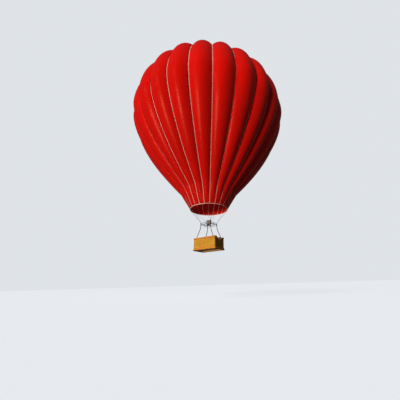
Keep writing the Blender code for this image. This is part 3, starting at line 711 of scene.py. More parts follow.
def golden_cane():
    """Varnished cane: each weaver has its own tone, with long fibres and dark nodes."""
    finish, tree, shader = new_finish("golden cane", Coat_Roughness=0.25)
    across, along = map_place(tree)[1:]
    row = calc(tree, "FLOOR", across)
    long_place = add_node(tree, "CombineXYZ", {"X": row, "Y": along, "Z": 0.0}).outputs["Vector"]
    tone = noise(tree, stretched(tree, long_place, (3.7, 0.5, 1.0)), 1.0, 2.0)
    light = (0.74, 0.395, 0.040, 1.0)
    dark = (0.50, 0.215, 0.024, 1.0)
    base = blend_colour(tree, spread(tree, tone, 0.40, 0.68, 0.0, 1.0), light, dark)
    bands = add_node(tree, "TexWave", {"Vector": long_place, "Scale": 0.052, "Distortion": 0.0})
    banded = blend_colour(tree, spread(tree, bands.outputs["Fac"], 0.75, 1.0, 0.0, 0.45), base, dark)
    fibres = use_group(tree, "Grain", Vector=long_place, Stretch=(14.0, 1.2, 1.0), Scale=6.0)
    streaked = blend_colour(tree, spread(tree, fibres["Streak"], 0.5, 0.8, 0.0, 0.5), banded, dark)
    knots = noise(tree, stretched(tree, long_place, (9.1, 2.4, 1.0)), 1.0, 0.0)
    knot_share = spread(tree, knots, 0.76, 0.82, 0.0, 0.8)
    spotted = blend_colour(tree, knot_share, streaked, (0.10, 0.045, 0.012, 1))
    tree.links.new(spotted, shader.inputs["Base Color"])
    tree.links.new(spread(tree, fibres["Streak"], 0.3, 0.8, 0.40, 0.62), shader.inputs["Roughness"])
    tree.links.new(spread(tree, tone, 0.3, 0.7, 0.12, 0.03), shader.inputs["Coat Weight"])
    add_bump(tree, shader, fibres["Height"], 0.0008, 0.6)
    return finish


def tan_leather():
    """Worn hide: pebbled grain, an uneven tone, pale rubbed patches and a dark scuffed foot."""
    finish, tree, shader = new_finish("tan leather")
    place = object_place(tree)
    tan = (0.56, 0.205, 0.022, 1.0)
    mottled = use_group(tree, "Mottle", Vector=place, Colour=tan, Patch_Scale=2.2, Strength=0.7)
    rubbed = use_group(tree, "Wear", Vector=place, Scale=7.0, Amount=0.45)["Mask"]
    rubbed_share = calc(tree, "MULTIPLY", rubbed, 0.5)
    worn = blend_colour(tree, rubbed_share, mottled["Colour"], (0.66, 0.34, 0.11, 1))
    height = add_node(tree, "SeparateXYZ", {"Vector": place}).outputs["Z"]
    low = spread(tree, height, BASKET_BOTTOM_Z, BASKET_BOTTOM_Z + 0.10, 1.0, 0.0)
    upright_place = stretched(tree, place, (1, 1, 3))
    scuffs = use_group(tree, "Wear", Vector=upright_place, Scale=12.0, Amount=0.75)["Mask"]
    soiled = blend_colour(tree, calc(tree, "MULTIPLY", low, scuffs), worn, (0.13, 0.055, 0.022, 1))
    tree.links.new(soiled, shader.inputs["Base Color"])
    tree.links.new(spread(tree, mottled["Factor"], 0.3, 0.7, 0.42, 0.62), shader.inputs["Roughness"])
    grain = use_group(tree, "Hide", Vector=place, Scale=260.0)["Height"]
    add_bump(tree, shader, grain, 0.0009, 0.7)
    return finish


def timber(name, light, dark, stretch, scale):
    """Oiled or varnished wood with its grain along one axis, and a little dirty."""
    finish, tree, shader = new_finish(name)
    place = object_place(tree)
    grain = use_group(tree, "Grain", Vector=place, Stretch=stretch, Scale=scale)
    wood = blend_colour(tree, spread(tree, grain["Streak"], 0.35, 0.65, 0.0, 1.0), light, dark)
    dirt = use_group(tree, "Wear", Vector=place, Scale=3.0, Amount=0.5)["Mask"]
    soiled = blend_colour(tree, calc(tree, "MULTIPLY", dirt, 0.35), wood, (0.12, 0.09, 0.06, 1))
    tree.links.new(soiled, shader.inputs["Base Color"])
    tree.links.new(spread(tree, grain["Streak"], 0.3, 0.7, 0.45, 0.68), shader.inputs["Roughness"])
    add_bump(tree, shader, grain["Height"], 0.0012, 0.6)
    return finish


def brushed_steel(name, colour, heat=False):
    """Stainless steel with fine brushing, an uneven tone and, near a flame, straw and blue tints."""
    finish, tree, shader = new_finish(name, Metallic=0.5 if heat else 0.75)
    place = object_place(tree)
    mottled = use_group(tree, "Mottle", Vector=place, Colour=colour, Patch_Scale=6.0, Strength=0.3)
    shade = mottled["Colour"]
    if heat:
        height = add_node(tree, "SeparateXYZ", {"Vector": place}).outputs["Z"]
        wobble = calc(tree, "MULTIPLY_ADD", mottled["Factor"], 0.10)
        tree.links.new(height, wobble.node.inputs[2])
        straw = spread(tree, wobble, CAN_BASE_Z + 0.12, CAN_BASE_Z + 0.30, 0.0, 0.45)
        blue = spread(tree, wobble, CAN_BASE_Z + 0.32, CAN_BASE_Z + 0.46, 0.0, 0.6)
        shade = blend_colour(tree, straw, shade, (0.62, 0.36, 0.16, 1))
        shade = blend_colour(tree, blue, shade, (0.22, 0.20, 0.34, 1))
    tree.links.new(shade, shader.inputs["Base Color"])
    brushing = noise(tree, stretched(tree, place, (3.0, 3.0, 160.0)), 4.0, 3.0, 0.6)
    tree.links.new(spread(tree, brushing, 0.3, 0.7, 0.22, 0.42), shader.inputs["Roughness"])
    add_bump(tree, shader, brushing, 0.0002, 0.5)
    return finish


def dark_steel():
    """Dark painted tube, chipped to bare metal in small patches."""
    finish, tree, shader = new_finish("dark steel")
    place = object_place(tree)
    paint = (0.045, 0.062, 0.070, 1.0)
    mottled = use_group(tree, "Mottle", Vector=place, Colour=paint, Patch_Scale=5.0, Strength=0.5)
    chips = use_group(tree, "Wear", Vector=place, Scale=22.0, Amount=0.32)["Mask"]
    shade = blend_colour(tree, chips, mottled["Colour"], (0.36, 0.33, 0.30, 1))
    tree.links.new(shade, shader.inputs["Base Color"])
    tree.links.new(spread(tree, chips, 0.0, 1.0, 0.0, 0.9), shader.inputs["Metallic"])
    tree.links.new(spread(tree, mottled["Factor"], 0.3, 0.7, 0.36, 0.5), shader.inputs["Roughness"])
    peel = noise(tree, place, 220.0, 2.0)
    add_bump(tree, shader, peel, 0.0004, 0.5)
    return finish


def satin_brass():
    """Machined brass with turning marks and brown tarnish in patches."""
    finish, tree, shader = new_finish("satin brass", Metallic=1.0)
    place = object_place(tree)
    brass = (0.66, 0.46, 0.22, 1.0)
    mottled = use_group(tree, "Mottle", Vector=place, Colour=brass, Patch_Scale=9.0, Strength=0.35)
    tarnish = use_group(tree, "Wear", Vector=place, Scale=14.0, Amount=0.5)["Mask"]
    tarnish_share = calc(tree, "MULTIPLY", tarnish, 0.6)
    shade = blend_colour(tree, tarnish_share, mottled["Colour"], (0.20, 0.11, 0.05, 1))
    tree.links.new(shade, shader.inputs["Base Color"])
    marks = noise(tree, stretched(tree, place, (2.0, 90.0, 2.0)), 5.0, 2.0)
    tree.links.new(spread(tree, marks, 0.3, 0.7, 0.26, 0.46), shader.inputs["Roughness"])
    add_bump(tree, shader, marks, 0.0003, 0.4)
    return finish


def padded_cloth(name, colour, threads):
    """Woven cover cloth over padding: threads, soft creases and dusty patches."""
    finish, tree, shader = new_finish(name, Sheen_Weight=0.15, Sheen_Roughness=0.5)
    place = object_place(tree)
    mottled = use_group(tree, "Mottle", Vector=place, Colour=colour, Patch_Scale=4.0, Strength=0.55)
    dust = use_group(tree, "Wear", Vector=place, Scale=9.0, Amount=0.25)["Mask"]
    dust_share = calc(tree, "MULTIPLY", dust, 0.18)
    shade = blend_colour(tree, dust_share, mottled["Colour"], (0.45, 0.40, 0.36, 1))
    tree.links.new(shade, shader.inputs["Base Color"])
    tree.links.new(spread(tree, mottled["Factor"], 0.3, 0.7, 0.68, 0.85), shader.inputs["Roughness"])
    creases = noise(tree, place, 16.0, 4.0, 0.6)
    add_bump(tree, shader, creases, 0.006, 0.5)
    weave = use_group(tree, "Weave", Vector=place, Threads=threads, Slack=0.3)["Height"]
    add_bump(tree, shader, weave, 0.0008, 0.6)
    return finish


def twisted_wire():
    """Stranded steel wire: the strands wind round it along the map's length, with painted shade in the
    grooves between them.
    """
    finish, tree, shader = new_finish("twisted wire", Metallic=1.0)
    across, along = map_place(tree)[1:]
    turn = calc(tree, "MULTIPLY", across, STRANDS * 2 * math.pi)
    lay = calc(tree, "MULTIPLY", along, STRAND_LAY)
    strands = calc(tree, "SINE", calc(tree, "ADD", turn, lay))
    # Painted shade: the grooves between the strands are darkened in the base colour.
    hollow_shade = spread(tree, strands, -1.0, 0.2, 1.0, 0.0)
    shade = blend_colour(tree, hollow_shade, (0.62, 0.61, 0.60, 1), (0.20, 0.19, 0.18, 1))
    tree.links.new(shade, shader.inputs["Base Color"])
    tree.links.new(spread(tree, strands, -1.0, 1.0, 0.5, 0.3), shader.inputs["Roughness"])
    add_bump(tree, shader, strands, 0.0008)
    return finish


def braided_line(name, colour):
    """Braided cord with a criss-cross of threads along its length, and painted shade in the hollows between
    them.
    """
    finish, tree, shader = new_finish(name, Sheen_Weight=0.2)
    across, along = map_place(tree)[1:]
    place = object_place(tree)
    turn = calc(tree, "MULTIPLY", across, BRAID_THREADS * 2 * math.pi)
    lay = calc(tree, "MULTIPLY", along, BRAID_LAY)
    left = calc(tree, "SINE", calc(tree, "ADD", turn, lay))
    right = calc(tree, "SINE", calc(tree, "SUBTRACT", turn, lay))
    braid = calc(tree, "MULTIPLY", left, right)
    mottled = use_group(tree, "Mottle", Vector=place, Colour=colour, Patch_Scale=3.0, Strength=0.4)
    # Painted shade: the hollows between the braid's threads are darkened in the base colour.
    hollow_shade = spread(tree, braid, -1.0, 1.0, 0.5, 0.0)
    shade = blend_colour(tree, hollow_shade, mottled["Colour"], (0.05, 0.03, 0.02, 1))
    tree.links.new(shade, shader.inputs["Base Color"])
    tree.links.new(spread(tree, braid, -1.0, 1.0, 0.8, 0.6), shader.inputs["Roughness"])
    add_bump(tree, shader, braid, 0.0006)
    return finish


def black_rubber():
    """Moulded rubber with a matte grain and pale scuffs."""
    finish, tree, shader = new_finish("black rubber")
    place = object_place(tree)
    scuffs = use_group(tree, "Wear", Vector=place, Scale=30.0, Amount=0.35)["Mask"]
    scuff_share = calc(tree, "MULTIPLY", scuffs, 0.4)
    shade = blend_colour(tree, scuff_share, (0.018, 0.018, 0.020, 1), (0.10, 0.10, 0.10, 1))
    tree.links.new(shade, shader.inputs["Base Color"])
    tree.links.new(spread(tree, noise(tree, place, 60.0), 0.3, 0.7, 0.55, 0.75), shader.inputs["Roughness"])
    add_bump(tree, shader, use_group(tree, "Hide", Vector=place, Scale=500.0)["Height"], 0.0004, 0.6)
    return finish


RED_CLOTH = red_cloth()
CREAM_WEBBING = cream_webbing()
GOLDEN_CANE = golden_cane()
TAN_LEATHER = tan_leather()
PLYWOOD = timber("plywood", (0.36, 0.19, 0.065, 1), (0.22, 0.105, 0.035, 1), (0.6, 7.0, 1.0), 4.0)
ASH_WOOD = timber("ash wood", (0.50, 0.32, 0.15, 1), (0.34, 0.19, 0.08, 1), (0.5, 9.0, 9.0), 5.0)
STAINLESS = brushed_steel("stainless steel", (0.62, 0.60, 0.57, 1))
HOT_STEEL = brushed_steel("heat tinted steel", (0.86, 0.72, 0.62, 1), heat=True)
DARK_STEEL = dark_steel()
SATIN_BRASS = satin_brass()
GREY_COVER = padded_cloth("grey cover", (0.175, 0.145, 0.150, 1), 70.0)
RED_JACKET = padded_cloth("red jacket", (0.34, 0.012, 0.012, 1), 60.0)
TWISTED_WIRE = twisted_wire()
WAXED_THREAD = braided_line("waxed thread", (0.50, 0.27, 0.09, 1))
RED_LINE = braided_line("red line", (0.55, 0.02, 0.02, 1))
BLACK_RUBBER = black_rubber()


def crown_angle(radius):
    """The crown's angle above its widest circle, at that radius."""
    return math.acos((radius / ENVELOPE_RADIUS) ** (CROWN_POWER / 2))


def crown_row(angle):
    """A row of the skin on the crown, a dome that is flatter and broader than an ellipse."""
    width = math.cos(angle) ** (2 / CROWN_POWER)
    radius = ENVELOPE_RADIUS * width
    height = CROWN_HEIGHT * math.sin(angle)
    steepness = CROWN_POWER / ENVELOPE_RADIUS * width ** (CROWN_POWER - 1)
    normal = Vector((steepness, 2 * math.sin(angle) / CROWN_HEIGHT))
    share = PUFF_SHARE * (1 + CROWN_PUFF_GAIN * ease(angle / CROWN_PUFF_ANGLE))
    share *= ease((radius - VENT_HOLE_RADIUS) / (FULL_PUFF_RADIUS - VENT_HOLE_RADIUS))
    return Row(radius, height, normal.normalized(), share * SECTOR * radius)


def lower_row(height):
    """A row of the skin from the widest circle down to the throat."""
    share = abs(height) / LOWER_DEPTH
    radius = ENVELOPE_RADIUS * (1 - share**LOWER_POWER)
    slope = ENVELOPE_RADIUS * LOWER_POWER / LOWER_DEPTH * share ** (LOWER_POWER - 1)
    normal = Vector((1.0, -slope)).normalized()
    return Row(radius, height, normal, PUFF_SHARE * SECTOR * radius)


def throat_row(share):
    """A row of the straight cone from the throat to the mouth, where the puff dies out."""
    top = lower_row(THROAT_Z)
    radius = top.radius + (MOUTH_RADIUS - top.radius) * share
    height = THROAT_Z + (MOUTH_Z - THROAT_Z) * share
    normal = Vector((THROAT_Z - MOUTH_Z, MOUTH_RADIUS - top.radius)).normalized()
    return Row(radius, height, normal, PUFF_SHARE * SECTOR * radius * (1 - ease(share)))


def gore_rows():
    """The rows of a gore, from the vent's hoop down to the mouth."""
    top = crown_angle(VENT_HOLE_RADIUS)
    shares = [(step / CROWN_STEPS) ** CROWN_SPACING for step in range(CROWN_STEPS)]
    crown = [crown_row(top * (1 - share)) for share in shares]
    lower = [lower_row(THROAT_Z * step / LOWER_STEPS) for step in range(LOWER_STEPS + 1)]
    throat = [throat_row((step + 1) / THROAT_STEPS) for step in range(THROAT_STEPS)]
    return crown + lower + throat


def sunk_point(row, depth, turn_at):
    """The point at that depth under a row's crest, turned by the angle that its radius gives."""
    radius = row.radius - row.normal.x * depth
    return around(turn_at(radius), radius, row.height - row.normal.y * depth)


def gore_point(row, share, middle):
    """A point on a gore's round puff: share runs from -1 at one tape to 1 at the next."""
    half_arc = 2 * math.atan2(2 * row.puff, SECTOR * row.radius)
    across, lift = share, 1.0
    if half_arc > 0.001:
        across = math.sin(half_arc * share) / math.sin(half_arc)
        lift = (math.cos(half_arc * share) - math.cos(half_arc)) / (1 - math.cos(half_arc))
    edge = TAPE_WIDTH / 2 + CLEARANCE
    return sunk_point(
        row,
        row.puff * (1 - lift),
        lambda radius: middle + across * (SECTOR / 2 - math.asin(edge / radius)),
    )


def thicken(piece, thickness=FABRIC):
    """Gives a sheet its thickness, inward."""
    shell = piece.modifiers.new("Thickness", "SOLIDIFY")
    shell.thickness = thickness
    shell.offset = -1.0


def build_gores():
    """The puffed cloth gores between the tapes."""
    rows = gore_rows()
    for index in range(GORES):
        shape = Shape()
        rings = []
        for row in rows:
            shares = [2 * column / GORE_COLUMNS - 1 for column in range(GORE_COLUMNS + 1)]
            rings.append([gore_point(row, share, index * SECTOR) for share in shares])
        rings[0] = [point + around(index * SECTOR) * HOOP_GAP for point in rings[0]]
        rings[-1] = [point + UP * HOOP_GAP for point in rings[-1]]
        shape.strip(list(reversed(rings)))
        name = f"gore_{index + 1:02d}"
        gore = shape.piece(f"gore_cloth_{index + 1:02d}", RED_CLOTH, "red_fabric", sharp=80, outward=False)
        thicken(gore)
        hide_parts(name)


def tape_section(row, valley):
    """Points across a tape at one row: flat webbing with two rounded edges."""
    points = []
    for share in (-1.0, -1.0 + TAPE_EDGE, 0.0, 1.0 - TAPE_EDGE, 1.0):
        sunk = row.puff + (TAPE_HOLLOW if abs(share) == 1.0 else 0.0)
        reach = share * TAPE_WIDTH / 2
        points.append(sunk_point(row, sunk, lambda radius: valley + math.asin(reach / radius)))
    return points


def hoop_rings(rows):
    """Full rings of points along rows, three points to a gore."""
    rings = []
    for row in rows:
        ring = []
        for index in range(GORES):
            for part in (-1 / 3, 0.0, 1 / 3):
                turn = (index + 0.5 + part) * SECTOR
                ring.append(sunk_point(row, row.puff, lambda radius: turn))
        rings.append(ring)
    return rings


def build_load_net():
    """The webbing down the valleys, and the hoops at the hub, the vent and the mouth."""
    span = VENT_HOLE_RADIUS - HOOP_WIDTH - HUB_OUTER_RADIUS
    hub = [HUB_OUTER_RADIUS + span * step / HUB_STEPS for step in range(HUB_STEPS + 1)]
    rows = [crown_row(crown_angle(radius)) for radius in hub] + gore_rows()
    rows.append(Row(MOUTH_RADIUS, MOUTH_Z - HOOP_WIDTH / 2, Vector((1.0, 0.0)), 0.0))
    shape = Shape()
    for index in range(GORES):
        valley = (index + 0.5) * SECTOR
        shape.strip([tape_section(row, valley) for row in reversed(rows)])
    tapes = shape.piece("load_net", CREAM_WEBBING, "cream_webbing", sharp=60, outward=False)
    thicken(tapes)
    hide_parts("load_tapes")

    hoops = Shape()
    hole_inner_radius = VENT_HOLE_RADIUS - HOOP_WIDTH
    for wide, narrow in ((HUB_OUTER_RADIUS, HUB_INNER_RADIUS), (VENT_HOLE_RADIUS, hole_inner_radius)):
        radii = (wide, wide - HOOP_EDGE, narrow + HOOP_EDGE, narrow)
        hoops.strip(hoop_rings([crown_row(crown_angle(radius)) for radius in radii]), closed=True)
    hem = []
    for drop in (1.0, 0.88, 0.12, 0.0):
        hem.append(Row(MOUTH_RADIUS, MOUTH_Z - HOOP_WIDTH * drop, Vector((1.0, 0.0)), 0.0))
    hoops.strip(hoop_rings(hem), closed=True)
    bands = hoops.piece("net_hoops", CREAM_WEBBING, "cream_webbing", sharp=60, outward=False)
    thicken(bands)
    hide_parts("load_tapes")


def hub_height():
    """The height of the crown ring's middle, halfway through the hub's webbing."""
    return crown_row(crown_angle(HUB_INNER_RADIUS)).height - FABRIC / 2


def vent_height(radius):
    """The height of the vent's outer face at that radius."""
    flat_z = hub_height() - CROWN_RING_TUBE - CLEARANCE
    if radius <= HUB_OUTER_RADIUS:
        return flat_z
    if radius <= VENT_HOLE_RADIUS:
        dome = crown_row(crown_angle(radius)).height - VENT_SEAT_GAP
        way = ease((radius - HUB_OUTER_RADIUS) / VENT_FLAT_BLEND)
        return flat_z + (dome - flat_z) * way
    hole_z = crown_row(crown_angle(VENT_HOLE_RADIUS)).height - VENT_SEAT_GAP
    way = (radius - VENT_HOLE_RADIUS) / (VENT_EDGE_RADIUS - VENT_HOLE_RADIUS)
    return hole_z - VENT_LAP_DROP * way


def build_vent():
    """The parachute vent, a dome that swells a little between its seams."""
    rings = []
    for step in range(VENT_RINGS + 1):
        radius = VENT_MIDDLE_RADIUS + (VENT_EDGE_RADIUS - VENT_MIDDLE_RADIUS) * step / VENT_RINGS
        swell = VENT_SWELL * ease(radius - HUB_OUTER_RADIUS)
        if radius >= VENT_HOLE_RADIUS - VENT_SWELL_MARGIN:
            swell = 0.0
        ring = []
        for index in range(VENT_COLUMNS):
            turn = 2 * math.pi * index / VENT_COLUMNS
            height = vent_height(radius) - swell * abs(math.cos(turn * GORES / 2))
            ring.append(around(turn, radius, height))
        rings.append(ring)
    shape = Shape()
    shape.strip(rings, closed=True)
    shape.faces.append(tuple(range(VENT_COLUMNS - 1, -1, -1)))
    shape.marks += [(0.0, 0.0)] * VENT_COLUMNS
    vent = shape.piece("vent_cloth", RED_CLOTH, "red_fabric", "vent", sharp=80, outward=False)
    thicken(vent)
    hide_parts("parachute_vent")


def build_crown_ring():
    """The steel ring that the tapes meet at."""
    radius = HUB_INNER_RADIUS - CROWN_RING_TUBE - CLEARANCE
    shape = Shape()
    shape.torus((0, 0, hub_height()), UP, radius, CROWN_RING_TUBE, 64, 12)
    ring = shape.piece("crown_ring_bar", STAINLESS, "steel")
    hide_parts("crown_ring")


def build_vent_lines():
    """The vent's shroud lines and the rings they meet at, and the taut line down to its cleat."""
    edge_z = vent_height(VENT_EDGE_RADIUS) - FABRIC
    knot = Vector((0, 0, SHROUD_KNOT_Z))
    shrouds = Shape()
    for index in range(GORES // 2):
        top = around((2 * index + 0.5) * SECTOR, VENT_EDGE_RADIUS, edge_z)
        shrouds.tube([knot.lerp(top * SHROUD_INSET, step / 4) for step in range(5)], LINE_RADIUS, 6)
    shrouds.piece("vent_shroud_lines", RED_LINE, "red_fabric", "vent")

    rings = Shape()
    rings.torus(knot, (1, 0, 0), PULL_RING_RADIUS, PULL_RING_TUBE, 24, 8)
    rings.torus(knot - UP * PULL_LINK_DROP, (0, 1, 0), PULL_LINK_RADIUS, PULL_LINK_TUBE, 24, 8)
    rings.piece("vent_line_ring", STAINLESS, "steel", "vent")

    foot = knot - UP * PULL_LINE_DROP
    line = Shape()
    line.tube([CLEAT.lerp(foot, step / 30) for step in range(31)], PULL_LINE_RADIUS, 6)
    pull = line.piece("vent_pull_line", RED_LINE, "red_fabric", body=None)
    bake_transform(pull)
    cleat = Shape()
    cleat.torus(CLEAT, (1, 0, 0), CLEAT_RADIUS, CLEAT_TUBE, 24, 8)
    cleat.piece("vent_line_cleat", STAINLESS, "steel")


def rounded_place(distance, half_x, half_y, corner):
    """A point that far round a rounded rectangle from an end of its +X side, and its way out."""
    arc = corner * math.pi / 2
    for quarter in range(4):
        turn = math.pi / 2 * quarter
        out = around(turn)
        onward = Vector((-out.y, out.x, 0))
        reach, run = (half_x, half_y) if quarter % 2 == 0 else (half_y, half_x)
        straight = 2 * (run - corner)
        if distance < straight:
            return out * reach + onward * (distance - straight / 2), out
        distance -= straight
        if distance < arc:
            way = around(turn + distance / corner)
            return out * (reach - corner) + onward * (straight / 2) + way * corner, way
        distance -= arc
    return rounded_place(0.0, half_x, half_y, corner)


def perimeter(half_x, half_y, corner):
    """The length round a rounded rectangle."""
    return 4 * (half_x + half_y - 2 * corner) + 2 * math.pi * corner


WALL = (BASKET_LENGTH / 2, BASKET_WIDTH / 2, BASKET_CORNER)
WALL_LENGTH = perimeter(*WALL)


def end_wall_dip(point):
    """How far the top of an end wall sags at that point: nothing on the long walls."""
    if abs(point.x) < BASKET_LENGTH / 2 - 2 * BASKET_CORNER or abs(point.y) > DIP_HALF_WIDTH:
        return 0.0
    return END_WALL_DIP * math.cos(point.y / DIP_HALF_WIDTH * math.pi / 2) ** 2


def weaver_rings(row):
    """One cane that passes in front of and behind the stakes, all the way round."""
    stations = STAKES * POINTS_PER_STAKE
    full = WALL_TOP_Z - WALL_FOOT_Z
    rings = []
    for station in range(stations):
        base, out = rounded_place(WALL_LENGTH * station / stations, *WALL)
        height = full - end_wall_dip(base)
        pitch = height / WEAVERS
        z = WALL_FOOT_Z + pitch * (row + 0.5)
        swing = WEAVER_SWING * math.cos(math.pi * (station / POINTS_PER_STAKE + row))
        middle = base + out * (swing - WICKER / 2) + UP * z
        half = pitch / 2 * WEAVER_OVERLAP
        ring = []
        for side in range(6):
            turn = math.pi / 3 * side
            ring.append(middle + out * WEAVER_THICKNESS * math.cos(turn) + UP * half * math.sin(turn))
        rings.append(ring)
    return rings


def build_wicker():
    """The woven wall in three bands of weavers, and the pairs of stakes that they pass round."""
    for band in range(WEAVERS // WEAVERS_PER_BAND):
        shape = Shape()
        for row in range(band * WEAVERS_PER_BAND, (band + 1) * WEAVERS_PER_BAND):
            shape.strip(weaver_rings(row), closed=True, looped=True, first_mark=row)
        weave = shape.piece(f"weave_band_{band + 1}", GOLDEN_CANE, "wicker", sharp=70)
        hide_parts("basket_wicker")
    stakes = Shape()
    for index in range(2 * STAKES):
        aside = STAKE_SPACING * (index % 2 - 0.5)
        distance = (WALL_LENGTH * (index // 2) / STAKES + aside) % WALL_LENGTH
        base, out = rounded_place(distance, *WALL)
        middle = base - out * WICKER / 2
        foot = middle + UP * (WALL_FOOT_Z + STAKE_FOOT_GAP)
        head = middle + UP * (WALL_TOP_Z - end_wall_dip(base) - STAKE_HEAD_GAP)
        mark = FIRST_STAKE_MARK + index
        stakes.tube([foot, (foot + head) / 2, head], STAKE_RADIUS, 6, first_mark=mark)
    rods = stakes.piece("wall_stakes", GOLDEN_CANE, "wicker")
    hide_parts("basket_wicker")


def rim_profile(pinch):
    """The padded rim's section as (out, up) pairs from its lower outer edge round to the inner one."""
    out, inner = RIM_OVERHANG, -WICKER - RIM_OVERHANG
    middle, half = (out + inner) / 2, (out - inner) / 2
    points = []
    for step in range(RIM_STEPS + 1):
        turn = math.pi * step / RIM_STEPS
        across = math.cos(turn)
        side = math.copysign(abs(across) ** RIM_SIDE_POWER, across)
        rise = abs(math.sin(turn)) ** RIM_TOP_POWER
        points.append((middle + side * half, RIM_SKIRT + (RIM_HEIGHT - RIM_SKIRT) * rise))
    tuck = RIM_TUCK + RIM_LACE_TUCK * pinch
    low = [(inner + tuck, 0.002), (-WICKER - 0.001, 0.0008), (0.001, 0.0008), (out - tuck, 0.002)]
    return low[3:] + points + low[:3]


def wall_sections(profile_at, stations, base_z, dips=True):
    """Rings of points that carry an (out, up) profile round the wall."""
    rings = []
    for station in range(stations):
        distance = WALL_LENGTH * station / stations
        base, out = rounded_place(distance, *WALL)
        drop = end_wall_dip(base) if dips else 0.0
        ring = []
        for reach, rise in profile_at(distance):
            ring.append(base + out * reach + UP * (base_z + rise - drop))
        rings.append(ring)
    return rings


def lace_count():
    """A whole number of laces round the wall."""
    return round(WALL_LENGTH / LACE_PITCH)


def build_rim():
    """The padded leather rim, drawn in a little at each lace."""
    laces = lace_count()

    def pinched(distance):
        return rim_profile(math.cos(math.pi * distance * laces / WALL_LENGTH) ** 8)

    shape = Shape()
    shape.strip(wall_sections(pinched, 4 * laces, WALL_TOP_Z), closed=True, looped=True)
    rim = shape.piece("rim_padding", TAN_LEATHER, "tan_leather", sharp=80)
    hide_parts("basket_rim")


def build_rim_laces():
    """Slanting laces that hold the rim to the weave, outside and inside."""
    laces = lace_count()
    shape = Shape()
    for index in range(laces):
        start = WALL_LENGTH * index / laces
        end = WALL_LENGTH * (index + 0.5) / laces
        for face, lean in ((RIM_OVERHANG, 1), (-WICKER - RIM_OVERHANG, -1)):
            points = []
            for share, rise, proud in LACE_COURSE:
                base, out = rounded_place(start + (end - start) * share, *WALL)
                place = base + out * (face + lean * proud)
                points.append(place + UP * (WALL_TOP_Z + rise - end_wall_dip(base)))
            shape.tube(points, LACE_RADIUS, 6, first_mark=index)
    shape.piece("rim_laces", WAXED_THREAD, "tan_leather")


def trim_section():
    """The flared bottom trim's section as (out, up) pairs, with a rolled upper edge."""
    thick = TRIM_THICKNESS
    return [
        (0.0003, TRIM_HEIGHT - 0.004),
        (0.003, TRIM_HEIGHT),
        (thick * 0.6, TRIM_HEIGHT),
        (thick, TRIM_HEIGHT - 0.005),
        (thick + 0.001, TRIM_HEIGHT - 0.020),
        (thick - 0.001, TRIM_HEIGHT - 0.026),
        (thick + 0.012, TRIM_HEIGHT - 0.070),
        (thick + 0.028, TRIM_HEIGHT - 0.125),
        (TRIM_FLARE - 0.004, TRIM_LEDGE + 0.012),
        (TRIM_FLARE, TRIM_LEDGE),
        (TRIM_FLARE, 0.008),
        (TRIM_FLARE - 0.003, 0.002),
        (TRIM_FLARE - 0.008, 0.0),
        (-WICKER + 0.008, 0.0),
        (-WICKER + 0.002, 0.003),
        (-WICKER, 0.010),
        (-WICKER, TRIM_LEDGE - 0.001),
        (0.0003, TRIM_LEDGE - 0.001),
    ]


def build_trim():
    """The leather band round the basket's foot."""
    section = trim_section()
    shape = Shape()
    rings = wall_sections(lambda distance: section, TRIM_STATIONS, BASKET_BOTTOM_Z, dips=False)
    shape.strip(rings, closed=True, looped=True)
    trim = shape.piece("trim_band", TAN_LEATHER, "tan_leather", sharp=50)
    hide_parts("bottom_trim")


def stitch_row(shape, reach, height, phase=0.0):
    """A row of raised stitches round the wall at a distance out and a height."""
    count = round(WALL_LENGTH / STITCH_PITCH)
    for index in range(count):
        middle = WALL_LENGTH * (index + phase) / count
        points = []
        for share, sunk in ((-0.5, 0.0025), (-0.3, 0.0), (0.3, 0.0), (0.5, 0.0025)):
            distance = (middle + share * STITCH_LENGTH) % WALL_LENGTH
            base, out = rounded_place(distance, *WALL)
            points.append(base + out * (reach - sunk) + UP * height)
        shape.tube(points, STITCH_RADIUS, 5, first_mark=index)


def build_stitching():
    """Raised stitches along the trim's upper and lower edges."""
    shape = Shape()
    stitch_row(shape, TRIM_THICKNESS + 0.0006, BASKET_BOTTOM_Z + TRIM_HEIGHT - 0.013)
    stitch_row(shape, TRIM_FLARE + 0.0004, BASKET_BOTTOM_Z + TRIM_LEDGE * 0.55, phase=0.5)
    shape.piece("trim_stitching", WAXED_THREAD, "cream_webbing")


def corner_point(sides, x, y, z):
    """The point that far out along X and Y towards a corner."""
    return Vector((sides[0] * x, sides[1] * y, z))


def upright_points(foot, head):
    """A rod that stands straight in its socket, leans in above the rim and ends upright."""
    points = []
    for step in range(SLEEVE_STEPS + 1):
        share = step / SLEEVE_STEPS
        way = (share - UPRIGHT_STRAIGHT_END) / (UPRIGHT_LEAN_END - UPRIGHT_STRAIGHT_END)
        way = min(1.0, max(0.0, way))
        point = foot.lerp(head, (way + ease(way)) / 2)
        point.z = foot.z + (head.z - foot.z) * share
        points.append(point)
    return points


def upright_ends(sides):
    """The foot in its socket and the head under the post."""
    socket_top = WALL_TOP_Z - SOCKET_TOP_DROP
    foot = corner_point(sides, SOCKET_X, SOCKET_Y, socket_top - SOCKET_DEPTH)
    head = corner_point(sides, POST_HALF, POST_HALF, FRAME_Z - POST_HEIGHT / 2 - CLEARANCE)
    return foot, head


def sleeve_radius(share):
    """A sleeve's radius that far up it: puckered, drawn in at its ties and rounded at its ends."""
    puff = 0.0008 * math.sin(share * 170) + 0.0006 * math.sin(share * 97 + 1.3)
    pinch = sum(math.exp(-((share - tie) / TIE_SPREAD) ** 2) for tie in SLEEVE_TIES)
    end = 1 - 0.25 * (1 - ease(min(share, 1 - share) / 0.02))
    return (UPRIGHT_RADIUS - SLEEVE_SLACK + puff - TIE_PINCH * pinch) * end


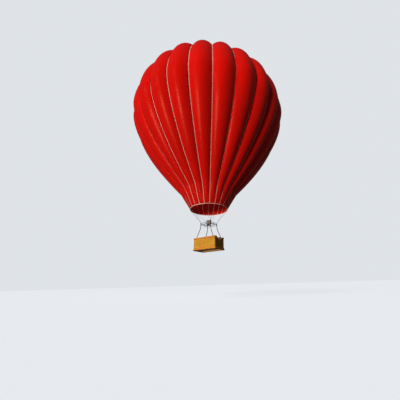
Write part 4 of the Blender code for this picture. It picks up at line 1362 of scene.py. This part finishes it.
def build_uprights():
    """The padded sleeves on the uprights, drawn in at their ties."""
    radii = [sleeve_radius(step / SLEEVE_STEPS) for step in range(SLEEVE_STEPS + 1)]
    for corner, sides in CORNERS.items():
        path = upright_points(*upright_ends(sides))
        shape = Shape()
        shape.tube(path, radii, 16)
        sleeve = shape.piece(f"sleeve_{corner}", GREY_COVER, "grey_cover", sharp=70)
        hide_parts(f"upright_{corner}")
        bands = Shape()
        frames = carried_frames(path, looped=False)
        for tie in SLEEVE_TIES:
            spot = round(tie * SLEEVE_STEPS)
            axis = frames[spot][0].cross(frames[spot][1])
            bands.torus(path[spot], axis, TIE_RADIUS, TIE_TUBE, 28, 6)
        bands.piece(f"sleeve_ties_{corner}", BLACK_RUBBER, "grey_cover")


def build_sockets():
    """Leather cups inside the long walls that the uprights stand in."""
    socket_top = WALL_TOP_Z - SOCKET_TOP_DROP
    foot_z = socket_top - SOCKET_DEPTH
    bore = UPRIGHT_RADIUS / math.cos(math.pi / 16) + CLEARANCE
    low = foot_z - SOCKET_FLOOR
    profile = [
        (0.040, low),
        (SOCKET_RADIUS - 0.006, low + 0.001),
        (SOCKET_RADIUS - 0.001, low + 0.008),
        (SOCKET_RADIUS - 0.002, low + 0.060),
        (SOCKET_RADIUS, low + 0.066),
        (SOCKET_RADIUS, low + 0.094),
        (SOCKET_RADIUS - 0.002, low + 0.100),
        (SOCKET_RADIUS - 0.002, socket_top - 0.050),
        (SOCKET_RADIUS, socket_top - 0.044),
        (SOCKET_RADIUS, socket_top - 0.010),
        (SOCKET_RADIUS - 0.004, socket_top - 0.001),
        (SOCKET_RADIUS - 0.012, socket_top),
        (bore + 0.004, socket_top - 0.002),
        (bore, socket_top - 0.010),
        (bore, foot_z - CLEARANCE),
        (0.010, foot_z - CLEARANCE),
    ]
    for corner, sides in CORNERS.items():
        shape = Shape()
        shape.turned(profile, corner_point(sides, SOCKET_X, SOCKET_Y, 0), steps=32)
        socket = shape.piece(f"socket_cup_{corner}", TAN_LEATHER, "tan_leather")
        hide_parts(f"upright_socket_{corner}")


def frame_rail(height):
    """A closed path round the burner frame at that height."""
    points = []
    inner = FRAME_HALF - FRAME_CORNER
    for quarter, (side_x, side_y) in enumerate(CORNERS.values()):
        for step in range(FRAME_CORNER_STEPS + 1):
            turn = math.pi / 2 * (quarter + step / FRAME_CORNER_STEPS)
            x = side_x * inner + FRAME_CORNER * math.cos(turn)
            y = side_y * inner + FRAME_CORNER * math.sin(turn)
            points.append(Vector((x, y, height)))
    return points


def eye_centre(sides):
    """The middle of the eye on top of a corner post."""
    lift = POST_HEIGHT / 2 + EYE_RADIUS + EYE_TUBE - EYE_SUNK
    return corner_point(sides, POST_HALF, POST_HALF, FRAME_Z + lift)


def across_corner(sides):
    """The level direction across a corner's diagonal, which the eye's ring turns about."""
    outward = Vector((*sides, 0)).normalized()
    return Vector((-outward.y, outward.x, 0))


def add_post(shape, sides):
    """A corner post with a grooved cap, welds at both rails and an eye on top."""
    tall = POST_HEIGHT / 2
    centre = corner_point(sides, POST_HALF, POST_HALF, FRAME_Z)
    profile = [
        (POST_RADIUS - POST_BEVEL, -tall),
        (POST_RADIUS, -tall + POST_BEVEL),
        (POST_RADIUS, tall - 0.018),
        (POST_RADIUS - 0.002, tall - 0.016),
        (POST_RADIUS, tall - 0.014),
        (POST_RADIUS, tall - POST_BEVEL),
        (POST_RADIUS - POST_BEVEL, tall),
    ]
    shape.turned(profile, centre, steps=28)
    for side in (-1, 1):
        for edge in (-1, 1):
            level = centre + UP * (side * RAIL_SPACING / 2 + edge * RAIL_RADIUS)
            shape.torus(level, UP, POST_RADIUS - 0.001, WELD, 28, 6)
    shape.torus(eye_centre(sides), across_corner(sides), EYE_RADIUS, EYE_TUBE - 0.0002, 32, 12)
    shape.torus(centre + UP * tall, UP, EYE_WELD_RADIUS, EYE_WELD, 20, 6)


def add_pivot_arm(shape, side):
    """The upright web between the rails and the hollow arm that holds a gimbal pin."""
    half = RAIL_SPACING / 2
    middle = Vector((side * FRAME_HALF, 0, FRAME_Z))
    shape.tube([middle - UP * half, middle + UP * half], WEB_RADIUS, 14)
    for edge in (-1, 1):
        weld = middle + UP * edge * (half - RAIL_RADIUS)
        shape.torus(weld, UP, WEB_RADIUS, WELD, 20, 6)
    length = FRAME_HALF - ARM_END
    arm = [
        (ARM_RADIUS, 0.0),
        (ARM_RADIUS, length - 0.030),
        (ARM_RADIUS - 0.002, length - 0.028),
        (ARM_RADIUS, length - 0.026),
        (ARM_RADIUS, length - 0.003),
        (ARM_RADIUS - 0.003, length),
        (PIN_RADIUS + 0.002, length),
        (PIN_RADIUS + PIN_GAP, length - 0.002),
        (PIN_RADIUS + PIN_GAP, length - PIN_HOLE_DEPTH),
    ]
    shape.turned(arm, middle, (-side, 0, 0), steps=28)
    shape.torus(middle - Vector((side * WEB_RADIUS, 0, 0)), (1, 0, 0), ARM_RADIUS, WELD, 24, 6)


def build_frame():
    """The welded load frame: two rails, four posts and two pivot arms."""
    shape = Shape()
    for side in (-1, 1):
        shape.tube(frame_rail(FRAME_Z + side * RAIL_SPACING / 2), RAIL_RADIUS, 16, looped=True)
    for sides in CORNERS.values():
        add_post(shape, sides)
    for side in (-1, 1):
        add_pivot_arm(shape, side)
    frame_piece = shape.piece("load_frame", DARK_STEEL, "dark_steel")
    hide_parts("burner_frame")


def build_gimbal():
    """The gimbal ring with its pins, washers and turned bosses."""
    shape = Shape()
    centre = Vector((0, 0, FRAME_Z))
    shape.torus(centre, UP, GIMBAL_RADIUS, GIMBAL_TUBE, 96, 14)
    for side in (-1, 1):
        pin = [
            (PIN_RADIUS + 0.005, GIMBAL_RADIUS + 0.004),
            (PIN_RADIUS + 0.005, GIMBAL_RADIUS + GIMBAL_TUBE + 0.006),
            (PIN_RADIUS, GIMBAL_RADIUS + GIMBAL_TUBE + 0.008),
            (PIN_RADIUS, ARM_END + PIN_LENGTH - 0.002),
            (PIN_RADIUS - 0.002, ARM_END + PIN_LENGTH),
        ]
        shape.turned(pin, centre, (side, 0, 0), 24)
        boss = [
            (PIN_RADIUS + PIN_GAP, BOSS_END + PIN_HOLE_DEPTH),
            (PIN_RADIUS + PIN_GAP, BOSS_END + 0.002),
            (PIN_RADIUS + 0.002, BOSS_END),
            (BOSS_RADIUS - 0.003, BOSS_END),
            (BOSS_RADIUS, BOSS_END + 0.003),
            (BOSS_RADIUS, GIMBAL_RADIUS + GIMBAL_TUBE - 0.003),
            (BOSS_RADIUS - 0.003, GIMBAL_RADIUS + GIMBAL_TUBE),
        ]
        shape.turned(boss, centre, (0, side, 0), 28)
    ring = shape.piece("gimbal_hoop", STAINLESS, "steel", "gimbal")
    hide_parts("gimbal_ring")


def add_jets(shape, middle, block_top):
    """A stem out of the valve block with the ring of jets that it carries on four spokes."""
    jet_z = CAN_BASE_Z + JET_HEIGHT
    stem = [
        (0.030, block_top - 0.006),
        (0.030, block_top + 0.012),
        (0.022, block_top + 0.016),
        (0.022, jet_z - 0.006),
        (0.019, jet_z + 0.004),
        (0.010, jet_z + 0.006),
    ]
    shape.turned(stem, (middle, 0, 0), steps=24)
    shape.torus((middle, 0, jet_z), UP, JET_RING_RADIUS, JET_RING_TUBE, 40, 10)
    hub = Vector((middle, 0, jet_z - 0.002))
    for spoke in range(4):
        out = around(math.pi / 2 * spoke + math.pi / 4)
        shape.tube([hub + out * 0.012, hub + out * 0.040], 0.0055, 8)
    for jet in range(JETS):
        spot = Vector((middle, 0, 0)) + around(2 * math.pi * jet / JETS, JET_RING_RADIUS, jet_z)
        shape.turned([(0.0032, 0.004), (0.0028, 0.0105), (0.0014, 0.0118)], spot, steps=8)


def build_valve_block():
    """The brass valve block with a hexagon union at each end, and the jets over it."""
    shape = Shape()
    half_x, half_y = BLOCK_LENGTH / 2, BLOCK_WIDTH / 2
    low_z, high_z = FRAME_Z + BLOCK_BOTTOM, FRAME_Z + BLOCK_TOP
    shape.block((-half_x, -half_y, low_z), (half_x, half_y, high_z), 0.010, segments=3)
    for middle in CAN_MIDDLES:
        add_jets(shape, middle, high_z)
    union = [
        (0.020, 0.0),
        (0.020, 0.012),
        (0.014, 0.014),
        (0.014, 0.030),
        (0.017, 0.032),
        (0.017, 0.044),
        (0.011, 0.048),
    ]
    for side in (-1, 1):
        spot = (side * half_x, 0, (low_z + high_z) / 2)
        shape.turned(union, spot, (side, 0, 0), steps=6)
    block = shape.piece("valve_block", SATIN_BRASS, "brass", "burner")
    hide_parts("burner_block")


def add_cheek(shape, side):
    """One end of the swing bar: the bar, its cheek, and the pivot that turns in the gimbal's boss."""
    half = BAR_WIDTH / 2
    bar_low, bar_high = FRAME_Z + BAR_BOTTOM, FRAME_Z + BAR_TOP
    inner, outer = sorted((side * (BLOCK_WIDTH / 2 - 0.006), side * CHEEK_END))
    shape.block((-half, inner, bar_low), (half, outer, bar_high), 0.004)
    near, far = sorted((side * (CHEEK_END - CHEEK_THICKNESS), side * CHEEK_END))
    shape.block((-half, near, bar_low - 0.0004), (half, far, FRAME_Z + CHEEK_TOP), 0.006, segments=3)
    pivot = [
        (0.016, CHEEK_END - CHEEK_THICKNESS - 0.006),
        (0.016, CHEEK_END - CHEEK_THICKNESS + 0.002),
        (PIN_RADIUS, CHEEK_END - CHEEK_THICKNESS + 0.004),
        (PIN_RADIUS, CHEEK_END + 0.001),
        (PIN_RADIUS + 0.006, CHEEK_END + 0.001),
        (PIN_RADIUS + 0.006, CHEEK_END + 0.004),
        (PIN_RADIUS, CHEEK_END + 0.005),
        (PIN_RADIUS, BOSS_END + PIN_LENGTH - 0.002),
        (PIN_RADIUS - 0.002, BOSS_END + PIN_LENGTH),
    ]
    shape.turned(pivot, (0, 0, FRAME_Z), (0, side, 0), 24)


def add_can_seat(shape, middle):
    """The cross of two bars that a can stands on."""
    reach = CAN_RADIUS + 0.004
    high_z = CAN_BASE_Z - CLEARANCE
    low_z = high_z - SEAT_HEIGHT
    for length_x, length_y in ((reach, SEAT_HALF_WIDTH), (SEAT_HALF_WIDTH, reach)):
        low = (middle - length_x, -length_y, low_z)
        high = (middle + length_x, length_y, high_z)
        shape.block(low, high, 0.003)


def build_swing_bar():
    """The steel bar with its cheeks, the seats of the cans, and the block's bolts with washers."""
    shape = Shape()
    for side in (-1, 1):
        add_cheek(shape, side)
    for middle in CAN_MIDDLES:
        add_can_seat(shape, middle)
    block_top = FRAME_Z + BLOCK_TOP
    head = [(0.0085, 0.0), (0.0085, 0.0055), (0.0070, 0.007)]
    washer = [(0.011, 0.0), (0.011, 0.0015)]
    for x in BLOCK_BOLTS_X:
        for y in (-BLOCK_BOLTS_Y, BLOCK_BOLTS_Y):
            shape.turned(head, (x, y, block_top - 0.0005), steps=6)
            shape.turned(washer, (x, y, block_top - 0.0012), steps=18)
    shape.piece("swing_bar", STAINLESS, "steel", "burner")


def build_blast_levers():
    """The two valve levers under the block, with ribbed rubber grips."""
    steel, rubber = Shape(), Shape()
    grip = [(0.0075, 0.0)]
    for rib in range(9):
        low = 0.010 * rib
        grip += [(0.0108, low + 0.003), (0.0108, low + 0.009), (0.0095, low + 0.011)]
    grip.append((0.0070, 0.096))
    for middle in CAN_MIDDLES:
        root = Vector((middle, -0.040, FRAME_Z - 0.090))
        tip = Vector((middle, -0.190, FRAME_Z - 0.130))
        steel.tube([root, root.lerp(tip, 0.5), tip], 0.0065, 12)
        steel.torus(root.lerp(tip, 0.18), (1, 0, 0), 0.010, 0.004, 20, 8)
        along = (tip - root).normalized()
        rubber.turned(grip, tip - along * 0.0955, along, 16)
    steel.piece("blast_levers", STAINLESS, "steel", "burner")
    rubber.piece("lever_grips", BLACK_RUBBER, "steel", "burner")


def can_hole(row, column):
    """Whether a face of the can's wall is left out for an air hole."""
    return row in HOLE_SHIFTS and (column + HOLE_SHIFTS[row]) % 4 < 2


def build_cans():
    """The burner cans: thin steel walls with rows of air holes and a rolled top edge."""
    height = CAN_HEIGHT - CAN_BEAD
    for middle, name in zip(CAN_MIDDLES, ("left", "right")):
        centre = Vector((middle, 0, 0))
        shape = Shape()
        for row in range(CAN_ROWS + 1):
            for column in range(CAN_COLUMNS):
                turn = 2 * math.pi * column / CAN_COLUMNS
                level = CAN_BASE_Z + height * row / CAN_ROWS
                shape.points.append(centre + around(turn, CAN_RADIUS, level))
        for row in range(CAN_ROWS):
            for column in range(CAN_COLUMNS):
                if can_hole(row, column):
                    continue
                here = row * CAN_COLUMNS + column
                beside = row * CAN_COLUMNS + (column + 1) % CAN_COLUMNS
                shape.faces.append((here, beside, beside + CAN_COLUMNS, here + CAN_COLUMNS))
                shape.marks += [(0.0, 0.0)] * 4
        can = shape.piece(f"can_wall_{name}", HOT_STEEL, "steel", "burner", outward=False)
        thicken(can, CAN_WALL)
        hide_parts(f"burner_can_{name}")
        bead = Shape()
        top = CAN_BASE_Z + CAN_HEIGHT - CAN_BEAD / 2
        bead.torus(centre + UP * top, UP, CAN_RADIUS - 0.001, 0.005, 64, 10)
        bead.torus(centre + UP * (CAN_BASE_Z + 0.25), UP, CAN_RADIUS - 0.0012, 0.0028, 64, 8)
        bead.piece(f"can_bead_{name}", HOT_STEEL, "steel", "burner")


def build_coils():
    """The fuel coils that wind up inside the cans."""
    for middle, name in zip(CAN_MIDDLES, ("left", "right")):
        foot = Vector((middle + COIL_RADIUS, 0, CAN_BASE_Z + CLEARANCE))
        points = [foot, foot + UP * COIL_LEG * 0.6, foot + UP * COIL_LEG]
        for step in range(COIL_TURNS * COIL_STEPS + 1):
            turn = 2 * math.pi * step / COIL_STEPS
            height = CAN_BASE_Z + COIL_START + COIL_PITCH * step / COIL_STEPS
            points.append(Vector((middle, 0, 0)) + around(turn, COIL_RADIUS, height))
        shape = Shape()
        shape.tube(points, COIL_TUBE, 12)
        coil = shape.piece(f"fuel_coil_{name}", HOT_STEEL, "steel", "burner", sharp=70)
        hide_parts(f"burner_coil_{name}")


def wire_pull(sides):
    """The mean direction in which a corner's wires pull on its eye."""
    outward = Vector((*sides, 0)).normalized()
    quarter = math.pi / 4
    reach = MOUTH_RADIUS * math.sin(quarter) / quarter
    mouth = outward * reach + Vector((0, 0, MOUTH_Z - HOOP_WIDTH))
    return (mouth - eye_centre(sides)).normalized()


def karabiner_path(start, along, across):
    """A closed oval from start, its length along one direction and its width across."""
    steps = 12
    half = KARABINER_WIDTH / 2
    straight = KARABINER_LENGTH - 2 * half
    points = []
    for end in (0, 1):
        for step in range(steps + 1):
            turn = math.pi * (end + step / steps)
            reach = half - half * math.sin(turn) + end * straight
            points.append(start + along * reach + across * half * math.cos(turn))
    return points


def build_karabiner(corner, start, pull, level):
    """A karabiner from start along the pull, with a brass screw sleeve on one side."""
    clip = Shape()
    clip.tube(karabiner_path(start, pull, level), KARABINER_TUBE - 0.0002, 12, looped=True)
    karabiner = clip.piece(f"snap_link_{corner}", STAINLESS, "steel")
    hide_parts(f"karabiner_{corner}")
    sleeve = Shape()
    middle = start + pull * KARABINER_LENGTH / 2 + level * KARABINER_WIDTH / 2
    knurl = [
        (0.0062, -0.018),
        (0.0085, -0.016),
        (0.0085, -0.006),
        (0.0078, -0.005),
        (0.0078, 0.005),
        (0.0085, 0.006),
        (0.0085, 0.016),
        (0.0062, 0.018),
    ]
    sleeve.turned(knurl, middle, pull, 12)
    sleeve.piece(f"link_sleeve_{corner}", SATIN_BRASS, "steel")


def add_thimble(shape, centre, pull, level):
    """The eye that the karabiner holds, and the ferrule that grips the six wires."""
    shape.torus(centre, level, EYE_RADIUS, EYE_TUBE - 0.0002, 32, 12)
    ferrule = [
        (FERRULE_RADIUS - 0.006, 0.002),
        (FERRULE_RADIUS - 0.001, 0.010),
        (FERRULE_RADIUS, 0.018),
        (FERRULE_RADIUS, FERRULE_LENGTH - 0.012),
        (FERRULE_RADIUS - 0.003, FERRULE_LENGTH - 0.004),
        (FERRULE_RADIUS - 0.007, FERRULE_LENGTH),
    ]
    shape.turned(ferrule, centre + pull * EYE_RADIUS, pull, 20)


def add_swage(shape, foot):
    """The pressed fitting that ends a wire at the mouth's hem."""
    swage = [
        (0.0045, -0.004),
        (0.0065, 0.0),
        (SWAGE_RADIUS, 0.008),
        (SWAGE_RADIUS, 0.020),
        (0.0080, 0.023),
        (SWAGE_RADIUS, 0.026),
        (SWAGE_RADIUS, SWAGE_LENGTH - 0.004),
        (SWAGE_RADIUS - 0.003, SWAGE_LENGTH),
    ]
    shape.turned(swage, foot, UP, 12)


def build_corner_rigging():
    """At each corner a karabiner, the thimble with its ferrule, and six wires up to the mouth."""
    bore = (EYE_RADIUS - EYE_TUBE) * math.cos(math.pi / EYE_STEPS)
    slack = bore - KARABINER_TUBE - CLEARANCE
    for quarter, (corner, sides) in enumerate(CORNERS.items()):
        pull = wire_pull(sides)
        level = across_corner(sides)
        start = eye_centre(sides) + pull * slack
        build_karabiner(corner, start, pull, level)
        centre = start + pull * (KARABINER_LENGTH + slack)
        knot = centre + pull * (EYE_RADIUS + FERRULE_LENGTH / 2)
        wires, fittings = Shape(), Shape()
        add_thimble(fittings, centre, pull, level)
        for index in range(WIRES_PER_CORNER):
            angle = (quarter * WIRES_PER_CORNER + index + 0.5) * SECTOR
            top = around(angle, MOUTH_RADIUS - FABRIC / 2, MOUTH_Z - HOOP_WIDTH - CLEARANCE)
            end = top - UP * SWAGE_LENGTH / 2
            wires.tube([knot.lerp(end, step / 12) for step in range(13)], WIRE_RADIUS, 8)
            add_swage(fittings, top - UP * SWAGE_LENGTH)
        cables = wires.piece(f"wire_cables_{corner}", TWISTED_WIRE, "steel")
        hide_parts(f"flying_wires_{corner}")
        ends = fittings.piece(f"wire_fittings_{corner}", STAINLESS, "steel")
        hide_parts(f"flying_wires_{corner}")


def build_jacket(corner, spot):
    """A cylinder's quilted jacket, drawn in at its hems."""
    rings = []
    for row in range(JACKET_ROWS + 1):
        share = row / JACKET_ROWS
        hem = ease(min(share, 1 - share) / 0.03)
        height = JACKET_LOW + (JACKET_HIGH - JACKET_LOW) * share
        ring = []
        for column in range(JACKET_COLUMNS):
            turn = 2 * math.pi * column / JACKET_COLUMNS
            quilt = abs(math.sin(turn * 8)) ** 0.5 * abs(math.sin(share * math.pi * 5)) ** 0.4
            size = CYLINDER_RADIUS - 0.007 + 0.0065 * quilt * hem - 0.006 * (1 - hem)
            ring.append(spot + around(turn, size, height))
        rings.append(ring)
    shape = Shape()
    shape.strip(rings, closed=True, capped=True)
    jacket = shape.piece(f"cylinder_jacket_{corner}", RED_JACKET, "red_jacket", sharp=80)
    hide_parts(f"fuel_cylinder_{corner}")


def build_shell(corner, spot):
    """A cylinder's steel: the foot ring, the dome and the collar round the valve."""
    base, top = CYLINDER_BASE, CYLINDER_BASE + CYLINDER_HEIGHT
    shape = Shape()
    foot = [
        (0.112, base + 0.046),
        (0.110, base + 0.004),
        (0.112, base),
        (0.138, base),
        (0.140, base + 0.004),
        (0.140, base + 0.036),
        (0.146, base + 0.052),
        (0.150, base + 0.078),
    ]
    shape.turned(foot, spot, steps=40)
    dome = []
    for step in range(9):
        turn = math.radians(7.5 * step)
        rise = (CYLINDER_DOME - 0.004) * math.sin(turn)
        dome.append((0.152 * math.cos(turn), JACKET_HIGH - 0.006 + rise))
    dome += [(0.030, dome[-1][1] + 0.006), (0.028, dome[-1][1] + 0.010)]
    shape.turned(dome, spot, steps=40)
    collar_low = JACKET_HIGH + CYLINDER_DOME * 0.70
    collar = [
        (0.095, collar_low),
        (0.093, top - 0.006),
        (0.090, top),
        (0.084, top),
        (0.082, top - 0.006),
        (0.086, collar_low),
    ]
    shape.turned(collar, spot, steps=40, looped=True)
    shell = shape.piece(f"cylinder_shell_{corner}", STAINLESS, "steel")
    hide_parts(f"fuel_cylinder_{corner}")


def build_valve(corner, spot):
    """A cylinder's brass valve: its neck, and a wheel with three spokes on its stem."""
    neck = CYLINDER_BASE + CYLINDER_HEIGHT - COLLAR_RISE - 0.010
    body = [
        (0.018, neck - 0.020),
        (0.018, neck + 0.030),
        (0.012, neck + 0.034),
        (0.012, neck + 0.050),
    ]
    stem = [(0.010, neck + 0.048), (0.010, neck + 0.066), (0.006, neck + 0.069)]
    shape = Shape()
    shape.turned(body, spot, steps=12)
    shape.torus(spot + UP * (neck + 0.062), UP, 0.026, 0.006, 24, 8)
    shape.turned(stem, spot, steps=12)
    hub = spot + UP * (neck + 0.061)
    for spoke in range(3):
        out = around(2 * math.pi * spoke / 3)
        shape.tube([hub, hub + out * 0.025], 0.0035, 6)
    shape.piece(f"cylinder_valve_{corner}", SATIN_BRASS, "brass")


def build_straps(corner, spot):
    """The two webbing straps round a cylinder's jacket."""
    radius = CYLINDER_RADIUS - 0.0035
    shape = Shape()
    for share in STRAP_SHARES:
        middle = JACKET_LOW + (JACKET_HIGH - JACKET_LOW) * share
        band = [
            (radius, middle - 0.019),
            (radius + 0.003, middle - 0.017),
            (radius + 0.003, middle + 0.017),
            (radius, middle + 0.019),
            (radius - 0.004, middle),
        ]
        shape.turned(band, spot, steps=48, looped=True)
    shape.piece(f"cylinder_straps_{corner}", CREAM_WEBBING, "cream_webbing")


def build_cylinders():
    """A strapped and jacketed fuel cylinder at each corner of the basket."""
    for corner, sides in CORNERS.items():
        spot = corner_point(sides, CYLINDER_X, CYLINDER_Y, 0)
        build_jacket(corner, spot)
        build_shell(corner, spot)
        build_valve(corner, spot)
        build_straps(corner, spot)


def build_floor_fittings():
    """Bolts through the floor into the runners, and new finishes for the wooden solids."""
    for node, finish in (("basket_floor", PLYWOOD), ("runner_front", ASH_WOOD), ("runner_rear", ASH_WOOD)):
        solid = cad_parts[node]
        solid.data.materials.clear()
        solid.data.materials.append(finish)
    head = [(0.014, 0.0003), (0.013, 0.003), (0.006, 0.0042)]
    washer = [(0.012, 0.0), (0.012, -0.002)]
    nut = [(0.009, -0.002), (0.009, -0.007), (0.007, -0.008)]
    under = FLOOR_TOP_Z - FLOOR_THICKNESS - RUNNER_HEIGHT - 0.0004
    shape = Shape()
    for side in (-1, 1):
        for x in FLOOR_BOLTS_X:
            shape.turned(head, (x, side * RUNNER_Y, FLOOR_TOP_Z), steps=18)
            low = (x, side * RUNNER_Y, under)
            shape.turned(washer, low, steps=18)
            shape.turned(nut, low, steps=6)
    shape.piece("floor_bolts", STAINLESS, "steel")


def build_studio_floor():
    """A wide floor that looks pale to the camera and lets the low lights shine through it."""
    mesh = bpy.data.meshes.new("studio_floor")
    bm = bmesh.new()
    bmesh.ops.create_circle(bm, cap_ends=True, segments=96, radius=FLOOR_RADIUS)
    bmesh.ops.translate(bm, vec=(0, 0, FLOOR_Z), verts=bm.verts)
    bm.to_mesh(mesh)
    bm.free()
    floor = new_object("studio_floor", mesh)
    finish, tree, shader = new_finish("studio floor", Roughness=0.9)
    shader.inputs["Base Color"].default_value = (0.10, 0.10, 0.10, 1)
    tint = noise(tree, object_place(tree), 0.02, 3.0)
    pale = blend_colour(tree, tint, (0.72, 0.75, 0.78, 1), (0.76, 0.79, 0.82, 1))
    seen = add_node(tree, "LightPath").outputs["Is Camera Ray"]
    tree.links.new(blend_colour(tree, seen, (0, 0, 0, 1), pale), shader.inputs["Emission Color"])
    shader.inputs["Emission Strength"].default_value = 1.0
    mesh.materials.append(finish)
    floor.visible_shadow = False


def build_backdrop():
    """A pale backdrop for the camera, and a much dimmer one that lights the balloon."""
    world = bpy.data.worlds.new("studio")
    bpy.context.scene.world = world
    world.use_nodes = True
    tree = world.node_tree
    tree.nodes.clear()
    ray = add_node(tree, "LightPath").outputs
    strength = spread(tree, ray["Is Glossy Ray"], 0.0, 1.0, 0.050, 0.045)
    lit = add_node(tree, "Background", {"Color": (1.0, 0.97, 0.95, 1), "Strength": strength})
    backdrop = add_node(tree, "Background", {"Color": (0.74, 0.77, 0.80, 1), "Strength": 1.0})
    both = add_node(tree, "MixShader", {0: ray["Is Camera Ray"], 1: lit.outputs[0], 2: backdrop.outputs[0]})
    end = add_node(tree, "OutputWorld")
    tree.links.new(both.outputs[0], end.inputs["Surface"])


def add_sun(name, azimuth, elevation, strength, softness, colour, gloss=True, diffuse=True):
    """A soft light from a direction: azimuth 0 comes from -Y, and 90 from +X."""
    data = bpy.data.lights.new(name, "SUN")
    data.energy = strength
    data.angle = math.radians(softness)
    data.color = colour
    sun = new_object(name, data)
    turn, rise = math.radians(azimuth), math.radians(elevation)
    way = Vector((math.sin(turn) * math.cos(rise), -math.cos(turn) * math.cos(rise), math.sin(rise)))
    sun.rotation_euler = way.to_track_quat("Z", "Y").to_euler()
    sun.visible_glossy = gloss
    sun.visible_diffuse = diffuse


def build_lights():
    """Two keys from the left, streak lights for the cloth, one for the metal, fills and a glow inside."""
    warm, white, ember = (1.0, 0.985, 0.96), (1.0, 1.0, 1.0), (1.0, 0.62, 0.48)
    add_sun("low key", -5, -7, 2.75, 12, warm, gloss=False)
    add_sun("high key", -8, 50, 1.7, 10, warm, gloss=False)
    add_sun("streak low", -5, -30, 0.12, 4, ember, diffuse=False)
    add_sun("streak", -5, -16, 0.34, 4, ember, diffuse=False)
    add_sun("streak high", -5, -4, 0.36, 4, ember, diffuse=False)
    add_sun("metal key", -13.5, 22, 0.04, 14, white, diffuse=False)
    add_sun("side fill", 100, 0, 0.10, 40, warm, gloss=False)
    add_sun("back fill", 215, 12, 1.2, 30, warm, gloss=False)
    data = bpy.data.lights.new("glow", "POINT")
    data.energy = GLOW_POWER
    data.shadow_soft_size = 1.0
    glow = new_object("glow", data)
    glow.location = (0, 0, GLOW_Z)
    glow.visible_glossy = False


def build_camera():
    """The photograph's view: low down, looking up."""
    data = bpy.data.cameras.new("camera")
    data.sensor_width = SENSOR_WIDTH
    data.lens = SENSOR_WIDTH * FOCAL_PIXELS / PICTURE_PIXELS
    data.shift_x = 0.5 - LENS_COLUMN / PICTURE_PIXELS
    data.clip_start = 0.1
    data.clip_end = 2 * FLOOR_RADIUS
    camera = new_object("camera", data)
    away = Vector((math.sin(CAMERA_AZIMUTH), -math.cos(CAMERA_AZIMUTH), 0)) * CAMERA_DISTANCE
    heading = Matrix.Rotation(CAMERA_AZIMUTH + CAMERA_YAW, 4, "Z")
    tilt = Matrix.Rotation(math.pi / 2 + CAMERA_PITCH, 4, "X")
    roll = Matrix.Rotation(CAMERA_ROLL, 4, "Z")
    camera.matrix_world = Matrix.Translation(away + UP * CAMERA_Z) @ heading @ tilt @ roll
    bpy.context.scene.camera = camera
    bpy.context.scene.view_settings.view_transform = "Standard"


build_camera()
build_lights()
build_studio_floor()
build_backdrop()
build_load_net()
build_gores()
build_vent()
build_crown_ring()
build_vent_lines()
build_wicker()
build_rim()
build_rim_laces()
build_trim()
build_stitching()
build_uprights()
build_sockets()
build_frame()
build_gimbal()
build_valve_block()
build_swing_bar()
build_blast_levers()
build_cans()
build_coils()
build_corner_rigging()
build_cylinders()
build_floor_fittings()
